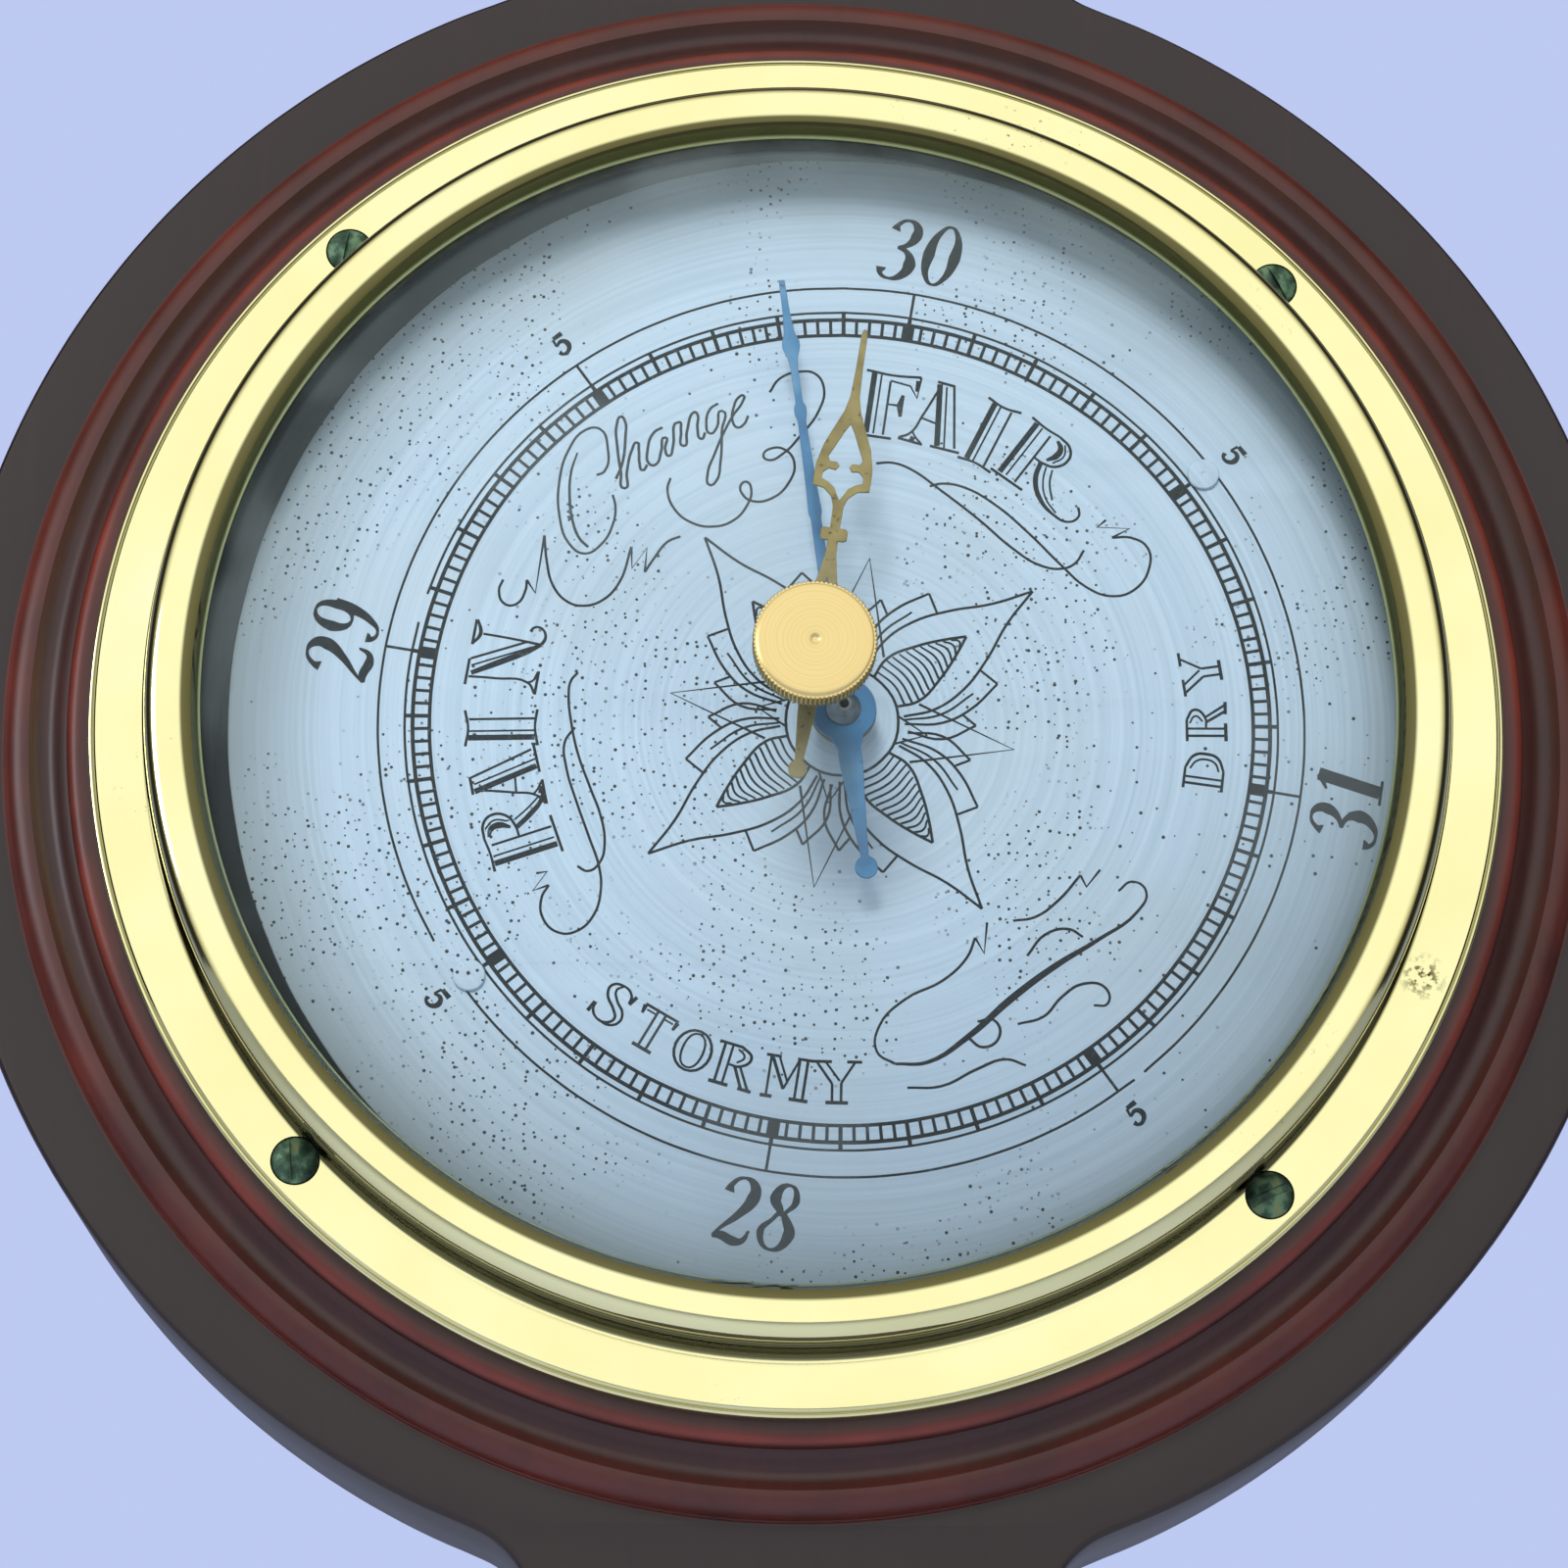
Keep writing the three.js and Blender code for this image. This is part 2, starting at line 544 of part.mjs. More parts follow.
// An open-work hand set by the knob outside the glass, to mark the last reading.
function buildSetHand() {
  const shape = new THREE.Shape();
  const right = [[0, 37.4], [0.35, 30.4], [1, 27.4], [2.6, 24.2], [3.3, 22.2], [2.5, 21], [1, 19.2], [0.7, 16.6],
    [1.4, 16.2], [1.4, 15.2], [0.6, 14.8], [0.9, 11], [2, 6.2], [2.1, 2.6]];
  shape.moveTo(right[0][0], right[0][1]);
  right.slice(1).forEach(([x, y]) => shape.lineTo(x, y));
  shape.absarc(0, 0, 3, Math.PI * 0.3, -Math.PI * 0.3, true);
  shape.lineTo(0.35, -9.2);
  shape.absarc(0, -10.2, 1, Math.PI * 0.4, Math.PI * 0.6, true);
  shape.lineTo(-1.7, -2.4);
  shape.absarc(0, 0, 3, -Math.PI * 0.7, Math.PI * 0.7, true);
  [...right].reverse().slice(0, -1).forEach(([x, y]) => shape.lineTo(-x, y));
  shape.closePath();
  const spade = new THREE.Path();
  spade.moveTo(0, 26.6);
  spade.lineTo(-1.7, 23.4);
  spade.lineTo(0, 21.4);
  spade.lineTo(1.7, 23.4);
  spade.closePath();
  const fork = new THREE.Path();
  fork.moveTo(0, 10.4);
  fork.lineTo(-1, 6);
  fork.lineTo(1, 6);
  fork.closePath();
  const bore = new THREE.Path();
  bore.absarc(0, 0, 1.3, 0, Math.PI * 2, false);
  shape.holes.push(spade, fork, bore);
  const hand = put('set_hand', slab(shape, setHandTop - handThickness, setHandTop, 8), brass, setX, setY);
  hand.rotation.z = -THREE.MathUtils.degToRad(setTurn);
  const shaft = [[0, setHandTop - 1], [1.2, setHandTop - 1], [1.2, setHandTop + 0.1], [2.2, setHandTop + 0.1],
    [2.2, 47], [setShaftRadius, 47.4], [setShaftRadius, knobRimBottom - 0.5], [0, knobRimBottom - 0.5]];
  put('set_shaft', turned(shaft, 20), dullBrass, setX, setY);
  const washer = tube(setShaftRadius + fit, 3.6, domeHeight(2, glassSphere) + 0.2, knobBottom - 0.2, 24);
  put('set_washer', washer, dullBrass, setX, setY);
}

function buildKnob() {
  const shape = new THREE.Shape();
  for (let tooth = 0; tooth < knobTeeth; tooth += 1) {
    const angle = (tooth / knobTeeth) * Math.PI * 2;
    const half = Math.PI / knobTeeth;
    const draw = tooth === 0 ? 'moveTo' : 'lineTo';
    shape[draw](knobCrest * Math.cos(angle), knobCrest * Math.sin(angle));
    shape.lineTo(knobRoot * Math.cos(angle + half), knobRoot * Math.sin(angle + half));
  }
  shape.closePath();
  const rim = slab(shape, knobRimBottom, knobRimTop);
  const neck = disc(knobNeck, knobBottom, knobRimBottom + 0.3, 24);
  const crownFoot = knobRimTop - 0.2;
  const crown = turned([[0, crownFoot], [5.7, crownFoot], [5.5, knobTop], [1, knobTop], [0, knobTop - 0.3]], 40);
  const bore = disc(setShaftRadius + fit / 3, knobBottom - 1.4, knobRimBottom - 0.3, 20);
  put('set_knob', cut(join(rim, neck, crown), bore), brass, setX, setY);
}

function buildAdjustingScrew() {
  const screw = slottedScrew(2, 1.4, 0.95, 2.1);
  screw.rotateX(Math.PI);
  put('adjusting_screw', screw, steel, adjusterX, capsuleY, 5.4);
}

buildPlaque();
buildHangingPlate();
buildBezel();
buildGlass();
buildDrum();
buildDial();
buildMovementPlate();
buildCapsule();
buildMainspring();
buildLever();
buildRocker();
buildChain();
buildArborCocks();
buildHairspring();
buildPointer();
buildSetHand();
buildKnob();
buildAdjustingScrew();

bench.rotation.x = Math.PI / 2;
bench.position.z = -originDrop;
const barometer = new THREE.Group();
barometer.add(bench);

export default barometer;
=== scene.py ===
import math
import random
import bpy
from mathutils import Matrix, Vector


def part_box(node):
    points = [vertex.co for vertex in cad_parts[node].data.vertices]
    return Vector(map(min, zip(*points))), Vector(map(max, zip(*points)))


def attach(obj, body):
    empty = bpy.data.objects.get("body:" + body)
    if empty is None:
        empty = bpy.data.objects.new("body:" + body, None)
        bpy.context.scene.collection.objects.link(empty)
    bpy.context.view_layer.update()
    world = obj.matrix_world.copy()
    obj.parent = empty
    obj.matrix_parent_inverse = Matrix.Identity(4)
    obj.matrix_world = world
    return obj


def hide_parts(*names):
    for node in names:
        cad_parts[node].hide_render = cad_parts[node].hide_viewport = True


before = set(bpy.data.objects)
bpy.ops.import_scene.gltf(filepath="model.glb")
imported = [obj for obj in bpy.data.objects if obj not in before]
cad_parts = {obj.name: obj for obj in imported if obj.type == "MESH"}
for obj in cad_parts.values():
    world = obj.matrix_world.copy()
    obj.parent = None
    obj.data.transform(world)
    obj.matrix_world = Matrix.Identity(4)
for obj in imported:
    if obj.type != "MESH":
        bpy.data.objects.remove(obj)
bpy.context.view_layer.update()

random.seed(7)

# Pieces are modelled flat on the bench in millimetres: x right, y up, z out of the wall.
# standUp() then hangs them in the frame, where the wall is the XZ plane and the face looks along -Y.
mm = 0.001
bezelAxisHeight = (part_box("bezel_ring")[0].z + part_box("bezel_ring")[1].z) / 2


def benchBox(node):
    low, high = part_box(node)
    bench = [(p.x / mm, (p.z - bezelAxisHeight) / mm, -p.y / mm) for p in (low, high)]
    return [min(pair) for pair in zip(*bench)], [max(pair) for pair in zip(*bench)]


def middleOf(node):
    low, high = benchBox(node)
    return Vector([(a + b) / 2 for a, b in zip(low, high)])


# ---- small helpers for modelling ----

def only(*pieces):
    if bpy.context.object and bpy.context.object.mode != "OBJECT":
        bpy.ops.object.mode_set(mode="OBJECT")
    bpy.ops.object.select_all(action="DESELECT")
    for piece in pieces:
        piece.select_set(True)
    bpy.context.view_layer.objects.active = pieces[0]
    return pieces[0]


def editing(piece, step):
    only(piece)
    bpy.ops.object.mode_set(mode="EDIT")
    bpy.ops.mesh.select_all(action="SELECT")
    step()
    bpy.ops.object.mode_set(mode="OBJECT")


def makeNormals():
    bpy.ops.mesh.normals_make_consistent(inside=False)


def modify(piece, kind, **settings):
    only(piece)
    modifier = piece.modifiers.new(kind.title(), kind)
    for key, value in settings.items():
        setattr(modifier, key, value)
    bpy.ops.object.modifier_apply(modifier=modifier.name)


def standUp(piece, angle=30):
    only(piece)
    piece.rotation_euler = (math.pi / 2, 0, 0)
    piece.scale = (mm, mm, mm)
    piece.location = (0, 0, bezelAxisHeight)
    bpy.ops.object.transform_apply(location=True, rotation=True, scale=True)
    bpy.ops.object.shade_smooth_by_angle(angle=math.radians(angle))
    return piece


def finishPiece(piece, material, body, replaced=(), angle=30):
    standUp(piece, angle)
    piece.data.materials.clear()
    piece.data.materials.append(material)
    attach(piece, body)
    if replaced:
        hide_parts(*replaced)
    return piece


# A curve object; each stroke is (closed, straight, points), a point being (x, y) or (x, y, width).
def drawCurve(name, strokes, flat=False, smooth=6):
    data = bpy.data.curves.new(name, "CURVE")
    data.dimensions = "2D" if flat else "3D"
    data.resolution_u = smooth
    data.twist_mode = "Z_UP"
    for closed, straight, points in strokes:
        spline = data.splines.new("BEZIER")
        spline.bezier_points.add(len(points) - 1)
        for knot, point in zip(spline.bezier_points, points):
            knot.co = (point[0], point[1], 0)
            knot.radius = 1 if flat else point[2] / 2
            kind = "VECTOR" if straight else "AUTO"
            knot.handle_left_type = knot.handle_right_type = kind
        spline.use_cyclic_u = closed
    piece = bpy.data.objects.new(name, data)
    bpy.context.scene.collection.objects.link(piece)
    return piece


def toMesh(piece):
    only(piece)
    bpy.ops.object.convert(target="MESH")
    piece = bpy.context.object
    editing(piece, lambda: (bpy.ops.mesh.remove_doubles(threshold=0.0005), makeNormals()))
    return piece


# A flat outline with holes, given a thickness and a small rounded edge.
def plateFrom(name, strokes, bottom, top, edge, smooth=12):
    piece = drawCurve(name, strokes, flat=True, smooth=smooth)
    piece.data.fill_mode = "BOTH"
    piece.data.extrude = (top - bottom) / 2 - edge
    piece.data.bevel_depth = edge
    piece.data.bevel_resolution = 2
    piece.data.offset = -edge
    piece = toMesh(piece)
    piece.data.transform(Matrix.Translation((0, 0, (top + bottom) / 2)))
    return piece


def circleStroke(radius, x=0, y=0, count=8, width=0.3):
    turns = [2 * math.pi * k / count for k in range(count)]
    return (True, False, [(x + radius * math.cos(t), y + radius * math.sin(t), width) for t in turns])


# Spins a closed or open profile of (radius, height) points round the z axis.
def turn(name, profile, steps=160, closed=True, x=0, y=0):
    data = bpy.data.curves.new(name, "CURVE")
    data.dimensions = "3D"
    spline = data.splines.new("POLY")
    spline.points.add(len(profile) - 1)
    for knot, (radius, height) in zip(spline.points, profile):
        knot.co = (radius, 0, height, 1)
    spline.use_cyclic_u = closed
    piece = bpy.data.objects.new(name, data)
    bpy.context.scene.collection.objects.link(piece)
    only(piece)
    bpy.ops.object.convert(target="MESH")
    piece = bpy.context.object

    def spin():
        bpy.ops.mesh.spin(steps=steps, angle=2 * math.pi, center=(0, 0, 0), axis=(0, 0, 1))
        bpy.ops.mesh.select_all(action="SELECT")
        bpy.ops.mesh.remove_doubles(threshold=0.0005)
        makeNormals()
    editing(piece, spin)
    piece.data.transform(Matrix.Translation((x, y, 0)))
    return piece


def boolean(piece, tool, operation="DIFFERENCE"):
    modify(piece, "BOOLEAN", object=tool, operation=operation, solver="EXACT")
    bpy.data.objects.remove(tool)


def plug(radius, x, y, bottom, top, sides=48):
    bpy.ops.object.select_all(action="DESELECT")
    bpy.ops.mesh.primitive_cylinder_add(vertices=sides, radius=radius, depth=top - bottom,
                                        location=(x, y, (top + bottom) / 2))
    return bpy.context.object


def copyOf(piece, name):
    twin = piece.copy()
    twin.data = piece.data.copy()
    twin.name = name
    bpy.context.scene.collection.objects.link(twin)
    return twin


def joined(name, pieces):
    only(*pieces)
    bpy.ops.object.join()
    bpy.context.object.name = name
    return bpy.context.object


# ---- small helpers for materials ----

def hexColour(text):
    parts = [int(text[i:i + 2], 16) / 255 for i in (1, 3, 5)]
    linear = [c / 12.92 if c <= 0.04045 else ((c + 0.055) / 1.055) ** 2.4 for c in parts]
    return (*linear, 1)


def addNode(tree, kind, values=None, feeds=None, stops=None, **settings):
    node = tree.nodes.new(kind)
    for key, value in settings.items():
        setattr(node, key, value)
    for key, value in (values or {}).items():
        node.inputs[key].default_value = value
    for key, source in (feeds or {}).items():
        tree.links.new(source, node.inputs[key])
    if stops:
        ramp = node.color_ramp
        while len(ramp.elements) < len(stops):
            ramp.elements.new(0.5)
        for element, (place, colour) in zip(ramp.elements, stops):
            element.position = place
            element.color = hexColour(colour) if isinstance(colour, str) else (colour, colour, colour, 1)
    return node


def newMaterial(name, colour, roughness, metallic, **extra):
    material = bpy.data.materials.new(name)
    material.use_nodes = True
    tree = material.node_tree
    tree.nodes.clear()
    shader = addNode(tree, "ShaderNodeBsdfPrincipled",
                     {"Base Color": hexColour(colour), "Roughness": roughness, "Metallic": metallic})
    for key, value in extra.items():
        shader.inputs[key.replace("_", " ")].default_value = value
    addNode(tree, "ShaderNodeOutputMaterial", feeds={"Surface": shader.outputs[0]})
    return material, tree, shader


def placed(tree, scale=(1, 1, 1), location=(0, 0, 0), rotation=(0, 0, 0)):
    where = addNode(tree, "ShaderNodeTexCoord")
    return addNode(tree, "ShaderNodeMapping",
                   {"Scale": scale, "Location": location, "Rotation": rotation},
                   {"Vector": where.outputs["Object"]}).outputs[0]


# Streaks that run round an axis along Y through (centreX, centreZ), as a lathe leaves them.
def lathed(tree, centreX, centreZ, pitch, sweep):
    where = placed(tree, location=(-centreX, 0, -centreZ))
    parts = addNode(tree, "ShaderNodeSeparateXYZ", feeds={0: where})
    flat = addNode(tree, "ShaderNodeCombineXYZ", feeds={0: parts.outputs[0], 2: parts.outputs[2]})
    radius = addNode(tree, "ShaderNodeVectorMath", feeds={0: flat.outputs[0]}, operation="LENGTH")
    lines = addNode(tree, "ShaderNodeMath", {1: 1 / pitch}, {0: radius.outputs["Value"]},
                    operation="MULTIPLY")
    along = addNode(tree, "ShaderNodeVectorMath", {1: (1 / sweep, 0, 1 / sweep)}, {0: where},
                    operation="MULTIPLY")
    alongParts = addNode(tree, "ShaderNodeSeparateXYZ", feeds={0: along.outputs[0]})
    vector = addNode(tree, "ShaderNodeCombineXYZ",
                     feeds={0: alongParts.outputs[0], 1: lines.outputs[0], 2: alongParts.outputs[2]})
    return vector.outputs[0], radius.outputs["Value"]


def mixColours(tree, factor, first, second, kind="MIX"):
    node = addNode(tree, "ShaderNodeMix", data_type="RGBA", blend_type=kind)
    for index, source in ((0, factor), (6, first), (7, second)):
        if isinstance(source, str):
            node.inputs[index].default_value = hexColour(source)
        elif isinstance(source, (int, float)):
            node.inputs[index].default_value = source
        else:
            tree.links.new(source, node.inputs[index])
    return node.outputs[2]


# A value that changes with the radius: each ring is (radius, amount), faded to 0 at both ends.
def ringMask(tree, radius, start, end, rings):
    share = addNode(tree, "ShaderNodeMapRange", {1: start, 2: end}, {0: radius})
    mask = addNode(tree, "ShaderNodeValToRGB", feeds={0: share.outputs[0]}, stops=[(0, 0.0), (1, 0.0)])
    for place, amount in rings:
        stop = mask.color_ramp.elements.new((place - start) / (end - start))
        stop.color = (amount, amount, amount, 1)
    return mask.outputs[0]


def bumped(tree, shader, height, distance, strength=1.0):
    bump = addNode(tree, "ShaderNodeBump", {"Strength": strength, "Distance": distance}, {"Height": height})
    tree.links.new(bump.outputs[0], shader.inputs["Normal"])


# ---- materials ----

# Mahogany, turned and spindle moulded, spirit stained and satin lacquered: dark red brown with
# fine vertical grain, paler and redder where hands and cloths have rubbed the turned edges, with a
# painted red highlight along the ovolo and a painted greyer sky reflection on the flat board.
def mahoganyStained():
    material, tree, shader = newMaterial("mahoganyStained", "#20100e", 0.42, 0, Coat_Weight=0.14,
                                         Coat_Roughness=0.34)
    grainSpace = placed(tree, (700, 260, 26))
    grain = addNode(tree, "ShaderNodeTexNoise", {"Scale": 1.0, "Detail": 6.0, "Distortion": 0.6},
                    {"Vector": grainSpace})
    broadSpace = placed(tree, (60, 30, 6))
    broad = addNode(tree, "ShaderNodeTexNoise", {"Scale": 1.0, "Detail": 3.0}, {"Vector": broadSpace})
    pores = addNode(tree, "ShaderNodeTexNoise", {"Scale": 1.0, "Detail": 2.0},
                    {"Vector": placed(tree, (2600, 1200, 160))})
    tone = addNode(tree, "ShaderNodeValToRGB", feeds={0: grain.outputs[0]},
                   stops=[(0.3, "#160b0a"), (0.55, "#21110f"), (0.75, "#2c1613")])
    wide = addNode(tree, "ShaderNodeValToRGB", feeds={0: broad.outputs[0]},
                   stops=[(0.35, "#1b0f0e"), (0.7, "#281411")])
    wood = mixColours(tree, 0.5, tone.outputs[0], wide.outputs[0])
    poreMask = addNode(tree, "ShaderNodeMapRange", {1: 0.6, 2: 0.72, 4: 0.55}, {0: pores.outputs[0]})
    wood = mixColours(tree, poreMask.outputs[0], wood, "#0e0706")
    _, radius = lathed(tree, 0, bezelAxisHeight, 0.001, 0.1)
    # Real wear and painted highlight: the red peaks at the lip edge and the outer fillet edge are rubbed wear. The
    # broader red band over the ovolo is a painted highlight.
    rubbedEdgesAndHighlight = ringMask(tree, radius, 0.07, 0.0825,
                      ((0.0715, 0.1), (0.0727, 0.35), (0.0736, 1.0), (0.0742, 0.15), (0.0768, 0.1),
                       (0.0786, 0.35), (0.08, 0.5), (0.0807, 1.0), (0.0812, 0.0)))
    # Painted reflection: the flat board's colour is made greyer to stand in for the sky's sheen on its broad face.
    boardSkySheen = addNode(tree, "ShaderNodeMapRange", {1: 0.0803, 2: 0.0816, 4: 0.65}, {0: radius})
    wood = mixColours(tree, boardSkySheen.outputs[0], wood, "#1d1514")             # the flat board is greyer
    patchy = addNode(tree, "ShaderNodeTexNoise", {"Scale": 90.0, "Detail": 4.0}, {"Vector": placed(tree)})
    wearAndHighlight = addNode(tree, "ShaderNodeMath", feeds={0: rubbedEdgesAndHighlight, 1: patchy.outputs[0]},
                   operation="MULTIPLY")
    wood = mixColours(tree, wearAndHighlight.outputs[0], wood, "#8a3424")
    tree.links.new(wood, shader.inputs["Base Color"])
    gloss = addNode(tree, "ShaderNodeMapRange", {1: 0.2, 2: 0.8, 3: 0.34, 4: 0.48}, {0: broad.outputs[0]})
    tree.links.new(gloss.outputs[0], shader.inputs["Roughness"])
    bumped(tree, shader, grain.outputs[0], 0.00008, 0.25)
    return material


# Brass sheet, spun over a former and polished: bright pale yellow with faint rings from the
# polishing mop, fine cross scratches, small dark tarnish freckles and a few dents.
def brassPolished():
    material, tree, shader = newMaterial("brassPolished", "#faf6bc", 0.1, 1)
    vector, radius = lathed(tree, 0, bezelAxisHeight, 0.00035, 0.09)
    rings = addNode(tree, "ShaderNodeTexNoise", {"Scale": 1.0, "Detail": 3.0}, {"Vector": vector})
    cloud = addNode(tree, "ShaderNodeTexNoise", {"Scale": 55.0, "Detail": 5.0}, {"Vector": placed(tree)})
    colour = addNode(tree, "ShaderNodeValToRGB", feeds={0: cloud.outputs[0]},
                     stops=[(0.3, "#f8f2b0"), (0.55, "#fbf7bb"), (0.75, "#fdf9c8")])
    freckles = addNode(tree, "ShaderNodeTexNoise", {"Scale": 1500.0, "Detail": 2.0},
                       {"Vector": placed(tree)})
    patches = addNode(tree, "ShaderNodeTexNoise", {"Scale": 26.0, "Detail": 3.0},
                      {"Vector": placed(tree, location=(3.1, 0, 0.4))})
    patchMask = addNode(tree, "ShaderNodeMapRange", {1: 0.56, 2: 0.7}, {0: patches.outputs[0]})
    freckleMask = addNode(tree, "ShaderNodeMapRange", {1: 0.66, 2: 0.72}, {0: freckles.outputs[0]})
    spots = addNode(tree, "ShaderNodeMath", feeds={0: patchMask.outputs[0], 1: freckleMask.outputs[0]},
                    operation="MULTIPLY")
    # one freckled patch low on the right of the flange
    patchSpace = placed(tree, (1, 0, 1), (-0.0625, 0, -(bezelAxisHeight - 0.0268)))
    patchFar = addNode(tree, "ShaderNodeVectorMath", feeds={0: patchSpace}, operation="LENGTH")
    patchNear = addNode(tree, "ShaderNodeMapRange", {1: 0.0007, 2: 0.0026, 3: 1.0, 4: 0.0},
                        {0: patchFar.outputs["Value"]})
    denser = addNode(tree, "ShaderNodeMapRange", {1: 0.5, 2: 0.6}, {0: freckles.outputs[0]})
    patchSpots = addNode(tree, "ShaderNodeMath", feeds={0: patchNear.outputs[0], 1: denser.outputs[0]},
                         operation="MULTIPLY")
    allSpots = addNode(tree, "ShaderNodeMath", feeds={0: spots.outputs[0], 1: patchSpots.outputs[0]},
                       operation="MAXIMUM")
    # painted shade and painted dark reflections: dark olive rings on the inner lip roll, in the crease where the
    # upright wall meets the flange, and on the outer step line
    shadeAndReflectionRings = ringMask(tree, radius, 0.0585, 0.0725,
                    ((0.05955, 0.9), (0.0597, 0.3), (0.0599, 0.97), (0.0613, 0.9), (0.0616, 0.0),
                     (0.0651, 0.0), (0.0653, 0.93), (0.0658, 0.9), (0.0661, 0.0), (0.07085, 0.0),
                     (0.07105, 0.9), (0.07125, 0.0)))
    # The same dark olive paints the tarnish freckles and the painted shade rings.
    dark = addNode(tree, "ShaderNodeMath", feeds={0: allSpots.outputs[0], 1: shadeAndReflectionRings},
                   operation="MAXIMUM")
    colour = mixColours(tree, dark.outputs[0], colour.outputs[0], "#47421c")
    tree.links.new(colour, shader.inputs["Base Color"])
    rough = addNode(tree, "ShaderNodeMapRange", {1: 0.3, 2: 0.75, 3: 0.06, 4: 0.12}, {0: rings.outputs[0]})
    tree.links.new(rough.outputs[0], shader.inputs["Roughness"])
    dents = addNode(tree, "ShaderNodeTexNoise", {"Scale": 130.0, "Detail": 1.0}, {"Vector": placed(tree)})
    surface = addNode(tree, "ShaderNodeMath", {1: 0.12}, {0: rings.outputs[0]}, operation="MULTIPLY")
    surface = addNode(tree, "ShaderNodeMath", feeds={0: surface.outputs[0], 1: dents.outputs[0]},
                      operation="ADD")
    bumped(tree, shader, surface.outputs[0], 0.00003, 0.14)
    return material


# Brass bar, faced on a lathe and gilt lacquered: pale peach gold with fine concentric tool marks.
def brassFaced():
    material, tree, shader = newMaterial("brassFaced", "#f3dc98", 0.34, 1)
    centre = middleOf("set_knob")
    vector, radius = lathed(tree, centre.x * mm, bezelAxisHeight + centre.y * mm, 0.00016, 0.05)
    marks = addNode(tree, "ShaderNodeTexNoise", {"Scale": 1.0, "Detail": 2.0}, {"Vector": vector})
    tone = addNode(tree, "ShaderNodeValToRGB", feeds={0: marks.outputs[0]},
                   stops=[(0.3, "#eed38a"), (0.7, "#f8e3a6")])
    # the teeth of the knurled rim are darker towards their tips, on the rim's outer side
    rim = addNode(tree, "ShaderNodeMapRange", {1: 0.00592, 2: 0.00600}, {0: radius})
    colour = mixColours(tree, rim.outputs[0], tone.outputs[0], "#9a7a34")
    tree.links.new(colour, shader.inputs["Base Color"])
    bumped(tree, shader, marks.outputs[0], 0.00001, 0.2)
    return material


# Brass sheet, fret cut and left bare: dull olive yellow with brown specks of old lacquer.
def brassFretted(name="brassFretted", pale="#b3a263", deep="#8f8048"):
    material, tree, shader = newMaterial(name, pale, 0.42, 0.85)
    cloud = addNode(tree, "ShaderNodeTexNoise", {"Scale": 420.0, "Detail": 5.0}, {"Vector": placed(tree)})
    tone = addNode(tree, "ShaderNodeValToRGB", feeds={0: cloud.outputs[0]},
                   stops=[(0.3, deep), (0.65, pale)])
    speck = addNode(tree, "ShaderNodeTexNoise", {"Scale": 1900.0, "Detail": 1.0}, {"Vector": placed(tree)})
    specks = addNode(tree, "ShaderNodeMapRange", {1: 0.66, 2: 0.74, 4: 0.8}, {0: speck.outputs[0]})
    colour = mixColours(tree, specks.outputs[0], tone.outputs[0], "#5a4422")
    tree.links.new(colour, shader.inputs["Base Color"])
    rough = addNode(tree, "ShaderNodeMapRange", {3: 0.34, 4: 0.55}, {0: cloud.outputs[0]})
    tree.links.new(rough.outputs[0], shader.inputs["Roughness"])
    bumped(tree, shader, cloud.outputs[0], 0.00002, 0.4)
    return material


# Brass sheet, pressed to a pan: bare olive brass behind; inside the rim, in front of the dial, it is painted near
# black and non-metallic as painted shade.
def brassPressed():
    material, tree, shader = newMaterial("brassPressed", "#a8925a", 0.5, 0.8)
    cloud = addNode(tree, "ShaderNodeTexNoise", {"Scale": 420.0, "Detail": 5.0}, {"Vector": placed(tree)})
    tone = addNode(tree, "ShaderNodeValToRGB", feeds={0: cloud.outputs[0]},
                   stops=[(0.3, "#7d6c3e"), (0.65, "#a8925a")])
    _, radius = lathed(tree, 0, bezelAxisHeight, 0.001, 0.1)
    depth = addNode(tree, "ShaderNodeSeparateXYZ", feeds={0: placed(tree)})
    # Painted shade: the inner wall between the bezel and the dial's edge is made near black where the bezel shades
    # the gap.
    within = addNode(tree, "ShaderNodeMapRange", {1: 0.0622, 2: 0.0624, 3: 1.0, 4: 0.0}, {0: radius})
    ahead = addNode(tree, "ShaderNodeMapRange", {1: -0.003, 2: -0.0032}, {0: depth.outputs[1]})
    black = addNode(tree, "ShaderNodeMath", feeds={0: within.outputs[0], 1: ahead.outputs[0]},
                    operation="MULTIPLY")
    colour = mixColours(tree, black.outputs[0], tone.outputs[0], "#08080a")
    tree.links.new(colour, shader.inputs["Base Color"])
    bare = addNode(tree, "ShaderNodeMapRange", {3: 0.8, 4: 0.0}, {0: black.outputs[0]})
    tree.links.new(bare.outputs[0], shader.inputs["Metallic"])
    rough = addNode(tree, "ShaderNodeMapRange", {3: 0.42, 4: 0.6}, {0: cloud.outputs[0]})
    tree.links.new(rough.outputs[0], shader.inputs["Roughness"])
    bumped(tree, shader, cloud.outputs[0], 0.00002, 0.4)
    return material
